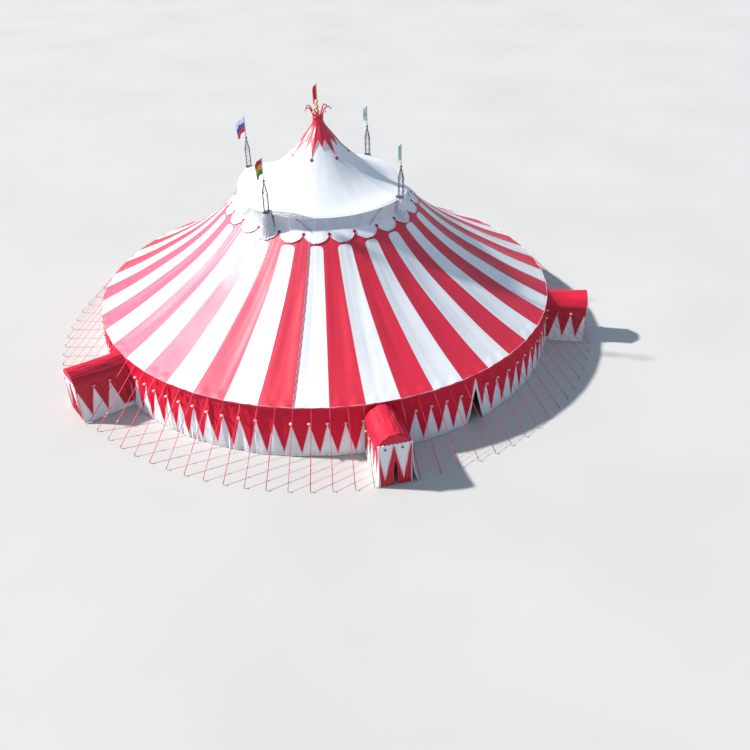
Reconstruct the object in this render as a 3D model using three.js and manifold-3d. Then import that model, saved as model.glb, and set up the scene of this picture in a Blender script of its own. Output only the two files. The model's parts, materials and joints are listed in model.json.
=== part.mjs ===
// Circus big top tent: a round striped canopy on four lattice masts, with a white cupola
// under a red star cap, a red side wall and three barrel-vaulted porches.
//
// The real tent is 42 m across its eave and about 51 m across its stakes, so this is a scale
// model at 1:2. Sizes below are real metres, and M turns one of them into model millimetres.
//
// Frame: +Z up, origin on the ground on the tent's axis, the front porch faces -Y.

import * as THREE from 'three';
import { mergeVertices } from 'three/addons/utils/BufferGeometryUtils.js';
import Module from 'manifold-3d';

const wasm = await Module();
wasm.setup();

// Scale and fits
const SCALE = 1 / 2;
const M = 1000 * SCALE;
const GAP = 0.3 / M;
const WELD_MM = 1e-3;
const FAR = 30;

// Directions, in degrees from +X
const QUARTER_DEG = 90;
const QUARTERS = [0, 1, 2, 3];
const FACETS = 48;
const FACET_DEG = 360 / FACETS;
const HALF_FACET_DEG = FACET_DEG / 2;
const FACET_FLAT = Math.cos(THREE.MathUtils.degToRad(HALF_FACET_DEG));
const FRONT_DEG = 270;
const PORCH_STEP_DEG = 9 * FACET_DEG;
const DOOR_DEG = FRONT_DEG + 3 * FACET_DEG;
const SEAM_DEG = FRONT_DEG - 2.5 * FACET_DEG;
const CORNER_DEG = 45;
const CORNERS = ['rear_right', 'rear_left', 'front_left', 'front_right'];

// Canopy, from the eave up to the ring of masts, as [radius, height]
const CLOTH = 0.04;
const CANOPY = [
  [21.06, 4.47],
  [18.06, 5.89],
  [15.12, 7.51],
  [12.6, 9.04],
  [10.5, 10.6],
  [8.82, 12.12],
  [7.9, 12.95],
  [7.55, 13.25],
];

// Petal collar laid on the canopy
const PETALS = 24;
const PETAL_STEPS = 6;
const COLLAR_TIP_RADIUS = 8.82;
const COLLAR_NOTCH_RADIUS = 8.1;
const COLLAR_THICK = 0.03;

// Cupola membrane, from its edge up to the neck
const CUPOLA = [
  [7.45, 13.87],
  [7.25, 13.955],
  [5.88, 14.56],
  [4.2, 15.6],
  [2.94, 16.64],
  [1.89, 17.66],
  [1.155, 18.55],
  [0.63, 19.2],
  [0.42, 19.6],
  [0.4, 19.95],
];
const CORNER_REACH = 0.65;
const CORNER_LIFT = 0.25;
const CORNER_START_RADIUS = 4.2;
const CORNER_FULL_RADIUS = 7.25;
const BAND_FOOT_RADIUS = 7.95;
const BAND_TOP_RADIUS = 7.42;
const BAND_SIDES = { right: 0, rear: 90, left: 180, front: 270 };

// Star cap and crown
const CAP_POINTS = 7;
const CAP_THICK = 0.03;
const CAP_SHELL_START = 4;
const CAP_LONG_RADIUS = 2.4;
const CAP_SHORT_RADIUS = 1.82;
const CAP_VALLEY_RADIUS = 1.33;
const CAP_FIRST_DEG = 242.4;
const CROWN_FOOT = 19.953;
const CROWN_RADIUS = 0.47;
const CROWN_TOP_RADIUS = 0.42;
const CROWN_RING_HIGH = 0.16;
const PRONG_PATH = [
  [0.35, 0],
  [0.52, 0.5],
  [0.82, 0.92],
  [1.12, 0.8],
];
const PRONG_STEPS = 4;
const PRONG_THICK = 0.085;
const PRONG_BALL = 0.09;

// King pole on its cradle
const CRADLE_FOOT = 12.0;
const CRADLE_DEEP = 0.3;
const HUB_RADIUS = 0.45;
const HUB_SIDES = 12;
const KING_SHOE_RADIUS = 0.36;
const KING_SHOE_HIGH = 0.06;
const KING_RADIUS = 0.12;
const KING_SIDES = 14;
const KING_PLUG_FOOT = 19.5;
const KING_PLUG_TOP = 19.9;
const KING_TOP = 20.3;
const SPIRE_RADIUS = 0.07;
const SPIRE_SIDES = 8;
const SPIRE_TOP = 21.35;
const SPIRE_BALLS = [
  [0.17, 20.45],
  [0.13, 20.85],
  [0.1, 21.3],
];
const APEX_POLE_TOP = 22.8;
const APEX_POLE_RADIUS = 0.035;

// Masts
const MAST_CIRCLE = 8.17;
const MAST_HALF = 0.19;
const CHORD = 0.06;
const BRACE_RADIUS = 0.018;
const HEAD_BAR_RADIUS = 0.025;
const MAST_BAYS = 9;
const MAST_SHOULDER = 16.0;
const MAST_HEAD = 17.0;
const MAST_HEAD_BALL = 0.09;
const MAST_FOOT_SIZE = 0.9;
const MAST_FOOT_THICK = 0.05;
const MAST_HOLE_RADIUS = 0.36;
const MAST_HOLE_SIDES = 8;
const FLAGPOLE_TOP = 18.9;
const FLAGPOLE_RADIUS = 0.03;
const FLAGPOLE_SIDES = 8;
const BOOT_FOOT_RADIUS = 0.62;
const BOOT_TOP_RADIUS = 0.37;
const BOOT_LOW = 12.05;
const BOOT_TOP = 14.7;
const BOOT_COLLAR = 0.2;
const BOOT_SIDES = 12;

// Flags, as cloth that hangs in folds from its pole
const MAST_FLAG = { length: 1.25, height: 1.25, drop: 0.75, deg: 205 };
const APEX_FLAG = { length: 0.42, height: 1.15, drop: 0.35, deg: 200 };
const FLAG_BELOW_TOP = 0.05;
const FLAG_THICK = 0.02;
const FLAG_WAVE = 0.07;
const FLAG_WAVES = 1.1;
const FLAG_STEPS = 8;

// Side wall and what holds the eave
const WALL_TOP_RADIUS = 21.0;
const WALL_FOOT_RADIUS = 21.34;
const WALL_FOOT = 0.05;
const WALL_REAR_PARTS = 4;
const RING_INNER_RADIUS = 20.62;
const RING_OUTER_RADIUS = 20.74;
const RING_DEEP = 0.1;
const POLE_RADIUS = 0.045;
const POLE_SIDES = 6;
const WEBBING_THICK = 0.045;
const WEBBING_TOP = 4.5;
const WEBBING_FOOT = 4.4;
const STRAP_WIDE = 0.06;
const STRAP_THICK = 0.02;
const STRAP_FOOT_HEIGHT = 0.2;
const STAKE_THICK = 0.07;
const STAKE_HIGH = 0.3;
const STAKE_OUT_RADIUS = 25.41;

// Straps that stand aside of a porch wall, from their even spacing to their place
const STRAPS_ASIDE = { 206.25: 206.75, 266.25: 265.7, 333.75: 333.25 };

// Doorway between two wall flaps, a tall triangle
const DOOR_HALF = 0.8;
const DOOR_HIGH = 3.2;

// Porches: a barrel roof over side walls that flare at their feet. Flares are [left, right].
const PORCHES = {
  left: { deg: FRONT_DEG - PORCH_STEP_DEG, face: 25.6, shift: 0, lean: 0, flares: [0.15, 0.45] },
  front: { deg: FRONT_DEG, face: STAKE_OUT_RADIUS, shift: -0.25, lean: 0.3, flares: [0.08, 0.45] },
  right: { deg: FRONT_DEG + PORCH_STEP_DEG, face: 24.78, shift: 0, lean: 0, flares: [0.5, 0.15] },
};
const PORCH_HALF = 1.3;
const PORCH_SPRING = 3.5;
const PORCH_CROWN = 4.36;
const PORCH_KNEE = 1.5;
const FLARE_AT_KNEE = 0.2;
const PORCH_CLOTH = 0.04;
const PORCH_TUBE = 0.07;
const PORCH_RAIL = 0.05;
const PORCH_COVER_START = 20.5;
const PORCH_REAR_HOOP = 21.5;
const CURTAIN_FOOT_HALF = 1.15;
const SLIT_HALF = 0.14;
const SLIT_HIGH = 2.35;
const ARC_STEPS = 10;

const tent = new THREE.Group();

function finish(color, roughness, metalness = 0) {
  return new THREE.MeshStandardMaterial({ color, roughness, metalness });
}

const RED_CLOTH = finish(0xb8142c, 0.6);
const WHITE_CLOTH = finish(0xe9ebef, 0.6);
const GREY_CLOTH = finish(0xb9bcc6, 0.7);
const STEEL = finish(0xa9adb2, 0.45, 0.8);
const WHITE_PAINT = finish(0xe4e6ea, 0.4);
const GOLD_PAINT = finish(0xc79a3a, 0.35, 0.6);
const FLAG_COLOURS = {
  front_left: finish(0xd9b23a, 0.7),
  front_right: finish(0xbfe6d6, 0.7),
  rear_left: finish(0x3c55a8, 0.7),
  rear_right: finish(0xdfeee8, 0.7),
};

function rad(degrees) {
  return THREE.MathUtils.degToRad(degrees);
}

// A closed geometry as a solid that can be joined and cut
function solid(geometry) {
  const bare = geometry.clone();
  bare.deleteAttribute('normal');
  bare.deleteAttribute('uv');
  const merged = mergeVertices(bare, WELD_MM);
  const corners = [];
  for (let i = 0; i < merged.index.count; i += 3) {
    const a = merged.index.getX(i);
    const b = merged.index.getX(i + 1);
    const c = merged.index.getX(i + 2);
    if (a !== b && b !== c && c !== a) {
      corners.push(a, b, c);
    }
  }
  if (signedVolume(merged.attributes.position, corners) < 0) {
    corners.reverse();
  }
  const options = {
    numProp: 3,
    vertProperties: new Float32Array(merged.attributes.position.array),
    triVerts: new Uint32Array(corners),
  };
  return new wasm.Manifold(new wasm.Mesh(options));
}

function signedVolume(position, corners) {
  const a = new THREE.Vector3();
  const b = new THREE.Vector3();
  const c = new THREE.Vector3();
  let sum = 0;
  for (let i = 0; i < corners.length; i += 3) {
    a.fromBufferAttribute(position, corners[i]);
    b.fromBufferAttribute(position, corners[i + 1]);
    c.fromBufferAttribute(position, corners[i + 2]);
    sum += a.dot(b.cross(c));
  }
  return sum;
}

// A solid back as a geometry that can be bent and shown
function shapeOf(body) {
  const { vertProperties, triVerts } = body.getMesh();
  const geometry = new THREE.BufferGeometry();
  geometry.setAttribute('position', new THREE.BufferAttribute(new Float32Array(vertProperties), 3));
  geometry.setIndex(new THREE.BufferAttribute(new Uint32Array(triVerts), 1));
  return geometry;
}

function joined(geometries) {
  return geometries.map(solid).reduce((sum, next) => sum.add(next));
}

function aroundAxis(body, degrees) {
  return body.rotate([0, 0, degrees]);
}

// A solid as a named mesh of the tent
function place(name, body, material) {
  const geometry = shapeOf(body);
  geometry.computeVertexNormals();
  const mesh = new THREE.Mesh(geometry, material);
  mesh.name = name;
  tent.add(mesh);
}

// A [radius, height] outline, closed or running from axis to axis, turned about the axis
function turned(outline, facets = FACETS) {
  const ends = outline[0][0] === 0 ? [] : [outline[0]];
  const points = [...outline, ...ends].map(([r, z]) => new THREE.Vector2(r * M, z * M));
  const lathe = new THREE.LatheGeometry(points, facets, rad(HALF_FACET_DEG), 2 * Math.PI);
  return lathe.rotateX(Math.PI / 2);
}

// A profile moved along its own normals, outward where the distance is positive
function offset(profile, distance) {
  const normals = profile.slice(1).map(([r, z], i) => {
    const run = new THREE.Vector2(r - profile[i][0], z - profile[i][1]).normalize();
    return new THREE.Vector2(run.y, -run.x);
  });
  return profile.map(([r, z], i) => {
    const before = normals[Math.max(i - 1, 0)];
    const after = normals[Math.min(i, normals.length - 1)];
    const middle = before.clone().add(after).normalize();
    const reach = distance / middle.dot(before);
    return [r + middle.x * reach, z + middle.y * reach];
  });
}

// The closed outline between an outer profile and an inner one
function between(outer, inner) {
  return [...outer, ...[...inner].reverse()];
}

// Height of a profile at a radius, where radii fall from point to point
function heightAt(profile, radius) {
  let i = 0;
  while (i < profile.length - 2 && profile[i + 1][0] > radius) {
    i += 1;
  }
  const [r0, z0] = profile[i];
  const [r1, z1] = profile[i + 1];
  return z0 + ((radius - r0) * (z1 - z0)) / (r1 - r0);
}

// An outline in plan pushed up to a prism
function prism(points, height) {
  const shape = new THREE.Shape(points.map(([x, y]) => new THREE.Vector2(x * M, y * M)));
  return new THREE.ExtrudeGeometry(shape, { depth: height * M, bevelEnabled: false, steps: 1 });
}

// An outline of [across, height] points pushed out from the front of the axis, between two radii
function alongFront(points, fromRadius, toRadius) {
  const upright = prism(points, toRadius - fromRadius).rotateX(Math.PI / 2);
  return upright.translate(0, -fromRadius * M, 0);
}

// A pie slice from below the ground up, with half a gap taken off each side
function wedge(fromDeg, toDeg) {
  const middle = (fromDeg + toDeg) / 2;
  const slip = GAP / 2 / Math.sin(rad(middle - fromDeg));
  const tip = [Math.cos(rad(middle)) * slip, Math.sin(rad(middle)) * slip];
  const rim = [fromDeg, middle, toDeg].map((deg) => [
    tip[0] + Math.cos(rad(deg)) * FAR,
    tip[1] + Math.sin(rad(deg)) * FAR,
  ]);
  return solid(prism([tip, ...rim], FAR).translate(0, 0, -M));
}

// A straight bar between two points, with a few flat sides
function bar(from, to, radius, sides) {
  const a = new THREE.Vector3(...from).multiplyScalar(M);
  const b = new THREE.Vector3(...to).multiplyScalar(M);
  const along = b.clone().sub(a);
  const geometry = new THREE.CylinderGeometry(radius * M, radius * M, along.length(), sides, 1);
  const upward = new THREE.Vector3(0, 1, 0);
  const turn = new THREE.Quaternion().setFromUnitVectors(upward, along.normalize());
  geometry.rotateY(Math.PI / sides).applyQuaternion(turn);
  const middle = a.add(b).multiplyScalar(0.5);
  return geometry.translate(middle.x, middle.y, middle.z);
}

// An upright bar on the tent's axis
function post(low, high, radius, sides) {
  return bar([0, 0, low], [0, 0, high], radius, sides);
}

function block(size, centre) {
  const [width, depth, height] = size.map((length) => length * M);
  const box = new THREE.BoxGeometry(width, depth, height);
  return box.translate(...centre.map((length) => length * M));
}

function ball(radius, x, z) {
  const sphere = new THREE.SphereGeometry(radius * M, 6, 4).rotateX(Math.PI / 2);
  return sphere.translate(x * M, 0, z * M);
}

// A cone round the first mast
function mastCone(footRadius, foot, topRadius, top) {
  const outline = [
    [0, foot],
    [footRadius, foot],
    [topRadius, top],
    [0, top],
  ];
  return turned(outline, BOOT_SIDES).translate(mastX * M, mastX * M, 0);
}

const canopyUnder = offset(CANOPY, -CLOTH);
const overCanopy = offset(CANOPY, GAP * 2);
const cupolaUnder = offset(CUPOLA, -CLOTH);
const mastX = MAST_CIRCLE * Math.cos(rad(CORNER_DEG));

// What a boot takes up at each mast, with a gap round it
const bootCone = mastCone(BOOT_FOOT_RADIUS + GAP, BOOT_LOW, BOOT_TOP_RADIUS + GAP, BOOT_TOP + GAP);
const bootEnvelope = QUARTERS.map((i) => aroundAxis(solid(bootCone), i * QUARTER_DEG)).reduce(
  (sum, next) => sum.add(next),
);

function makeCanopy() {
  const ring = solid(turned(between(CANOPY, canopyUnder)));
  const hole = bar(
    [mastX, mastX, BOOT_LOW - 1],
    [mastX, mastX, BOOT_TOP],
    MAST_HOLE_RADIUS,
    MAST_HOLE_SIDES,
  );
  const firstMast = wedge(SEAM_DEG, SEAM_DEG + QUARTER_DEG);
  const holeTurn = Math.ceil((SEAM_DEG - CORNER_DEG) / QUARTER_DEG) * QUARTER_DEG;
  const section = ring.intersect(firstMast).subtract(aroundAxis(solid(hole), holeTurn));
  QUARTERS.forEach((i) => {
    place(`canopy_section_${i + 1}`, aroundAxis(section, i * QUARTER_DEG), RED_CLOTH);
  });
}

// Plan outline of the collar: petals that hang between notches
function petalOutline() {
  const points = [];
  for (let i = 0; i < PETALS * PETAL_STEPS; i += 1) {
    const turn = i / PETAL_STEPS;
    const swing = Math.sqrt(Math.abs(Math.sin(Math.PI * turn)));
    const radius = THREE.MathUtils.lerp(COLLAR_NOTCH_RADIUS, COLLAR_TIP_RADIUS, swing);
    const angle = rad(FRONT_DEG + FACET_DEG + (turn * 360) / PETALS);
    points.push([radius * Math.cos(angle), radius * Math.sin(angle)]);
  }
  return points;
}

function makeCollar() {
  const top = offset(CANOPY, COLLAR_THICK + GAP);
  const under = offset(CANOPY, GAP);
  const inner = BAND_FOOT_RADIUS + COLLAR_THICK;
  const radii = [COLLAR_TIP_RADIUS + 2 * COLLAR_THICK, COLLAR_TIP_RADIUS, inner];
  const ring = between(
    radii.map((radius) => [radius, heightAt(top, radius)]),
    radii.map((radius) => [radius, heightAt(under, radius)]),
  );
  const petals = solid(turned(ring)).intersect(solid(prism(petalOutline(), FAR)));
  place('petal_collar', petals.subtract(bootEnvelope), WHITE_CLOTH);
}

// Pulls a ring of cloth out and up where the masts hold it
function drawCorners(geometry, weight) {
  const position = geometry.attributes.position;
  for (let i = 0; i < position.count; i += 1) {
    const x = position.getX(i) / M;
    const y = position.getY(i) / M;
    const z = position.getZ(i) / M;
    const radius = Math.hypot(x, y);
    const corner = Math.sin(2 * Math.atan2(y, x)) ** 2;
    const pull = corner * weight(radius, z);
    const factor = (radius + CORNER_REACH * pull) / radius;
    position.setXYZ(i, x * factor * M, y * factor * M, (z + CORNER_LIFT * pull) * M);
  }
  return geometry;
}

// Share of the corner pull a point of the cupola takes, none near the neck
function cupolaPull(radius) {
  const start = CORNER_START_RADIUS - CLOTH;
  const share = (radius - start) / (CORNER_FULL_RADIUS - CORNER_START_RADIUS);
  return THREE.MathUtils.clamp(share, 0, 1) ** 2;
}

function makeCupola() {
  const membrane = drawCorners(turned(between(CUPOLA, cupolaUnder)), cupolaPull);
  place('cupola', solid(membrane).subtract(bootEnvelope), WHITE_CLOTH);
}

// The skirt between canopy and cupola, in four parts that meet at the masts
function makeVentilationBand() {
  const onCanopy = (radius) => [radius, heightAt(CANOPY, radius) + GAP * 2];
  const underCupola = (radius) => [radius, heightAt(cupolaUnder, radius) - GAP * 2];
  const footInner = onCanopy(BAND_FOOT_RADIUS - CLOTH);
  const top = underCupola(BAND_TOP_RADIUS);
  const topInner = underCupola(BAND_TOP_RADIUS - CLOTH);
  const outline = [onCanopy(BAND_FOOT_RADIUS), top, topInner, footInner];
  const rise = (radius, z) => {
    return THREE.MathUtils.clamp((z - footInner[1]) / (top[1] - footInner[1]), 0, 1);
  };
  const skirt = solid(drawCorners(turned(outline), rise)).subtract(bootEnvelope);
  Object.entries(BAND_SIDES).forEach(([side, deg]) => {
    const part = skirt.intersect(wedge(deg - CORNER_DEG, deg + CORNER_DEG));
    place(`ventilation_band_${side}`, part, GREY_CLOTH);
  });
}

function makeCap() {
  const top = offset(CUPOLA, CAP_THICK + GAP).slice(CAP_SHELL_START);
  const under = offset(CUPOLA, GAP).slice(CAP_SHELL_START);
  const shell = solid(turned(between(top, under)));
  const radii = [CAP_LONG_RADIUS, CAP_VALLEY_RADIUS, CAP_SHORT_RADIUS, CAP_VALLEY_RADIUS];
  const star = [];
  for (let i = 0; i < CAP_POINTS * radii.length; i += 1) {
    const angle = rad(CAP_FIRST_DEG + (i * 360) / (CAP_POINTS * radii.length));
    const radius = radii[i % radii.length];
    star.push([radius * Math.cos(angle), radius * Math.sin(angle)]);
  }
  place('star_cap', shell.intersect(solid(prism(star, FAR))), RED_CLOTH);
}

// One horn of the crown: out from the neck, up, over and out to its ball
function horn() {
  const stations = PRONG_PATH.map(([r, z]) => new THREE.Vector3(r * M, 0, (CROWN_FOOT + z) * M));
  const section = new THREE.Shape();
  section.absarc(0, 0, PRONG_THICK * M, 0, 2 * Math.PI, false);
  const shaft = new THREE.ExtrudeGeometry(section, {
    steps: PRONG_STEPS,
    bevelEnabled: false,
    extrudePath: new THREE.CatmullRomCurve3(stations),
    curveSegments: 3,
  });
  const [tipRadius, tipHeight] = PRONG_PATH.at(-1);
  return joined([shaft, ball(PRONG_BALL, tipRadius, CROWN_FOOT + tipHeight)]);
}

function makeCrown() {
  const outline = [
    [0, CROWN_FOOT],
    [CROWN_RADIUS, CROWN_FOOT],
    [CROWN_TOP_RADIUS, CROWN_FOOT + CROWN_RING_HIGH],
    [0, CROWN_FOOT + CROWN_RING_HIGH],
  ];
  const oneHorn = horn();
  let crown = solid(turned(outline, 2 * CAP_POINTS));
  for (let i = 0; i < CAP_POINTS; i += 1) {
    crown = crown.add(aroundAxis(oneHorn, CAP_FIRST_DEG + (i * 360) / CAP_POINTS));
  }
  const bore = solid(post(KING_PLUG_FOOT, KING_TOP, KING_RADIUS + GAP, KING_SIDES));
  const below = solid(post(KING_PLUG_FOOT, CROWN_FOOT, FAR, KING_SIDES));
  place('crown', crown.subtract(bore).subtract(below), RED_CLOTH);
}

function makeKingPole() {
  const seat = CRADLE_FOOT + CRADLE_DEEP + GAP;
  const plugRadius = cupolaUnder.at(-1)[0] - GAP * 2;
  const parts = [
    post(seat, KING_TOP, KING_RADIUS, KING_SIDES),
    post(seat, seat + KING_SHOE_HIGH, KING_SHOE_RADIUS, HUB_SIDES),
    post(KING_PLUG_FOOT, KING_PLUG_TOP, plugRadius, FACETS / 2),
    post(KING_TOP - SPIRE_RADIUS, SPIRE_TOP, SPIRE_RADIUS, SPIRE_SIDES),
    post(SPIRE_TOP - SPIRE_RADIUS, APEX_POLE_TOP, APEX_POLE_RADIUS, FLAGPOLE_SIDES),
    ...SPIRE_BALLS.map(([radius, z]) => ball(radius, 0, z)),
  ];
  place('king_pole', joined(parts), GOLD_PAINT);
}

// Two crossed beams between the masts, with a hub under the king pole
function makeCradle() {
  const reach = MAST_CIRCLE - (MAST_HALF + CHORD / 2) * Math.SQRT2 - GAP;
  const level = CRADLE_FOOT + CRADLE_DEEP / 2;
  const beam = block([2 * reach, CRADLE_DEEP, CRADLE_DEEP], [0, 0, level]);
  const across = beam.clone().rotateZ(rad(CORNER_DEG + QUARTER_DEG));
  const hub = post(CRADLE_FOOT, CRADLE_FOOT + CRADLE_DEEP, HUB_RADIUS, HUB_SIDES);
  place('king_pole_cradle', joined([beam.rotateZ(rad(CORNER_DEG)), across, hub]), STEEL);
}

// One side of the square lattice: a chord, its zigzag of braces and its share of the head
function mastSide() {
  const high = MAST_SHOULDER - CHORD / 2;
  const chordFoot = MAST_FOOT_THICK / 2;
  const chordMiddle = (chordFoot + MAST_SHOULDER) / 2;
  const bay = (MAST_SHOULDER - MAST_FOOT_THICK) / MAST_BAYS;
  const near = [MAST_HALF, MAST_HALF];
  const far = [-MAST_HALF, MAST_HALF];
  const shapes = [
    block([CHORD, CHORD, MAST_SHOULDER - chordFoot], [...near, chordMiddle]),
    bar([...near, high], [...far, high], BRACE_RADIUS, 4),
    bar([...near, high], [0, 0, MAST_HEAD], HEAD_BAR_RADIUS, 4),
  ];
  for (let i = 0; i < MAST_BAYS; i += 1) {
    const [start, end] = i % 2 === 0 ? [near, far] : [far, near];
    const low = MAST_FOOT_THICK + i * bay;
    shapes.push(bar([...start, low], [...end, low + bay], BRACE_RADIUS, 3));
  }
  return joined(shapes);
}

function makeMasts() {
  const oneSide = mastSide();
  const plate = [MAST_FOOT_SIZE, MAST_FOOT_SIZE, MAST_FOOT_THICK];
  const ends = joined([
    block(plate, [0, 0, MAST_FOOT_THICK / 2]),
    ball(MAST_HEAD_BALL, 0, MAST_HEAD),
    post(MAST_HEAD, FLAGPOLE_TOP, FLAGPOLE_RADIUS, FLAGPOLE_SIDES),
  ]);
  const sides = QUARTERS.map((i) => aroundAxis(oneSide, i * QUARTER_DEG));
  const mast = sides.reduce((sum, next) => sum.add(next)).add(ends);
  const standing = mast.translate([mastX * M, mastX * M, 0]);
  CORNERS.forEach((corner, i) => {
    place(`mast_${corner}`, aroundAxis(standing, i * QUARTER_DEG), STEEL);
  });
}

// The tapered sleeve where a mast passes the canopy, closed round the mast at its top
function makeBoots() {
  const cone = solid(mastCone(BOOT_FOOT_RADIUS, BOOT_LOW, BOOT_TOP_RADIUS, BOOT_TOP));
  const liningFoot = BOOT_LOW - CLOTH;
  const liningTop = BOOT_TOP - BOOT_COLLAR;
  const lining = solid(
    mastCone(BOOT_FOOT_RADIUS - CLOTH, liningFoot, BOOT_TOP_RADIUS - CLOTH, liningTop),
  );
  const wide = 2 * (MAST_HALF + CHORD / 2 + GAP);
  const passage = solid(block([wide, wide, MAST_HEAD - BOOT_LOW], [mastX, mastX, liningTop]));
  const rim = overCanopy[0];
  const peak = overCanopy.at(-1);
  const below = solid(turned([[0, 0], [FAR, 0], [FAR, rim[1]], ...overCanopy, [0, peak[1]]]));
  const boot = cone.subtract(lining).subtract(passage).subtract(below);
  CORNERS.forEach((corner, i) => {
    place(`mast_boot_${corner}`, aroundAxis(boot, i * QUARTER_DEG), WHITE_CLOTH);
  });
}

// A flag that hangs from a pole on the axis and swings away from it, lower at its free end
function flag(top, poleRadius, cut) {
  const near = [];
  const far = [];
  for (let i = 0; i <= FLAG_STEPS; i += 1) {
    const share = i / FLAG_STEPS;
    const wave = FLAG_WAVE * share * Math.sin(2 * Math.PI * FLAG_WAVES * share);
    near.push([cut.length * share, wave + FLAG_THICK / 2]);
    far.push([cut.length * share, wave - FLAG_THICK / 2]);
  }
  const sheet = prism([...far, ...near.reverse()], cut.height);
  const position = sheet.attributes.position;
  for (let i = 0; i < position.count; i += 1) {
    const share = position.getX(i) / M / cut.length;
    position.setZ(i, position.getZ(i) + (top - cut.height - cut.drop * share ** 2) * M);
  }
  const low = top - cut.height - cut.drop;
  const pole = solid(post(low, top + cut.drop, poleRadius + GAP, FLAGPOLE_SIDES));
  return aroundAxis(solid(sheet), cut.deg).subtract(pole);
}

function makeFlags() {
  const mastFlag = flag(FLAGPOLE_TOP - FLAG_BELOW_TOP, FLAGPOLE_RADIUS, MAST_FLAG);
  CORNERS.forEach((corner, i) => {
    const angle = rad(CORNER_DEG + i * QUARTER_DEG);
    const x = MAST_CIRCLE * M * Math.cos(angle);
    const y = MAST_CIRCLE * M * Math.sin(angle);
    place(`mast_flag_${corner}`, mastFlag.translate([x, y, 0]), FLAG_COLOURS[corner]);
  });
  const apexFlag = flag(APEX_POLE_TOP - FLAG_BELOW_TOP, APEX_POLE_RADIUS, APEX_FLAG);
  place('apex_flag', apexFlag, RED_CLOTH);
}

// Arch outline of a porch, set in from its outer face, on two legs of [half width, height] points
function archOutline(inset, [leftLeg, rightLeg]) {
  const half = PORCH_HALF - inset;
  const rise = PORCH_CROWN - PORCH_SPRING;
  const fullRadius = (PORCH_HALF ** 2 + rise ** 2) / (2 * rise);
  const centre = PORCH_CROWN - fullRadius;
  const radius = fullRadius - inset;
  const spread = Math.asin(half / radius);
  const points = rightLeg.map(([x, z]) => [x - inset, z]);
  for (let i = 0; i <= ARC_STEPS; i += 1) {
    const angle = spread - (2 * spread * i) / ARC_STEPS;
    points.push([radius * Math.sin(angle), centre + radius * Math.cos(angle)]);
  }
  const mirrored = leftLeg.map(([x, z]) => [inset - x, z]);
  return [...points, ...mirrored.reverse()];
}

function straightLegs(foot, half = PORCH_HALF) {
  return [[[half, foot]], [[half, foot]]];
}

function flaredLegs(foot, flares) {
  return flares.map((flare) => [
    [PORCH_HALF + flare, foot],
    [PORCH_HALF + flare * FLARE_AT_KNEE, PORCH_KNEE],
  ]);
}

// A hollow arch, from one inset to another, along a stretch of a porch
function hoop(insets, legs, fromRadius, toRadius) {
  const [outer, inner] = insets.map((inset) => archOutline(inset, legs));
  const hollow = solid(alongFront(inner, fromRadius - 1, toRadius + 1));
  return solid(alongFront(outer, fromRadius, toRadius)).subtract(hollow);
}

// A porch's piece at its gate, with its face's foot drawn out by the lean
function atGate(body, porch) {
  const leaned = body.warp((point) => {
    const out = (-point[1] / M - PORCH_REAR_HOOP) / (porch.face - PORCH_REAR_HOOP);
    const rise = (point[2] / M - WALL_FOOT) / (PORCH_SPRING - WALL_FOOT);
    point[1] += porch.lean * Math.max(0, out) * rise * M;
  });
  return aroundAxis(leaned.translate([porch.shift * M, 0, 0]), porch.deg - FRONT_DEG);
}

// What is cut from the side wall: a gate for each porch and the doorway
function wallGates() {
  const inner = WALL_TOP_RADIUS - 1;
  const outer = WALL_FOOT_RADIUS + 1;
  const arch = archOutline(PORCH_CLOTH + PORCH_TUBE, straightLegs(-1));
  const gate = solid(alongFront(arch, inner, outer));
  const flaps = [
    [-DOOR_HALF, 0],
    [DOOR_HALF, 0],
    [0, DOOR_HIGH],
  ];
  const doorway = aroundAxis(solid(alongFront(flaps, inner, outer)), DOOR_DEG - FRONT_DEG);
  return Object.values(PORCHES).reduce((sum, porch) => {
    return sum.add(atGate(gate, { ...porch, lean: 0 }));
  }, doorway);
}

// First and last direction of each part of the side wall
function wallSpans() {
  const left = PORCHES.left.deg;
  const right = PORCHES.right.deg;
  const spans = {
    wall_left_porch: [left - FACET_DEG, left + FACET_DEG],
    wall_front_left: [left + FACET_DEG, FRONT_DEG - FACET_DEG],
    wall_front_porch: [FRONT_DEG - FACET_DEG, FRONT_DEG + FACET_DEG],
    wall_doorway: [FRONT_DEG + FACET_DEG, DOOR_DEG + FACET_DEG],
    wall_front_right: [DOOR_DEG + FACET_DEG, right - FACET_DEG],
    wall_right_porch: [right - FACET_DEG, right + FACET_DEG],
  };
  const rearStart = right + FACET_DEG;
  const rearStep = (left - FACET_DEG + 360 - rearStart) / WALL_REAR_PARTS;
  for (let i = 0; i < WALL_REAR_PARTS; i += 1) {
    spans[`wall_rear_${i + 1}`] = [rearStart + i * rearStep, rearStart + (i + 1) * rearStep];
  }
  return spans;
}

function makeWalls() {
  const underEave = (radius) => [radius, heightAt(canopyUnder, radius) - GAP * 2];
  const outline = [
    underEave(WALL_TOP_RADIUS),
    underEave(WALL_TOP_RADIUS - CLOTH),
    [WALL_FOOT_RADIUS - CLOTH, WALL_FOOT],
    [WALL_FOOT_RADIUS, WALL_FOOT],
  ];
  const ring = solid(turned(outline)).subtract(wallGates());
  Object.entries(wallSpans()).forEach(([name, [from, to]]) => {
    place(name, ring.intersect(wedge(from, to)), RED_CLOTH);
  });
}

function porchCover({ face, flares }) {
  const legs = flaredLegs(WALL_FOOT, flares);
  return hoop([0, PORCH_CLOTH], legs, PORCH_COVER_START, face - PORCH_CLOTH - GAP);
}

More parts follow.
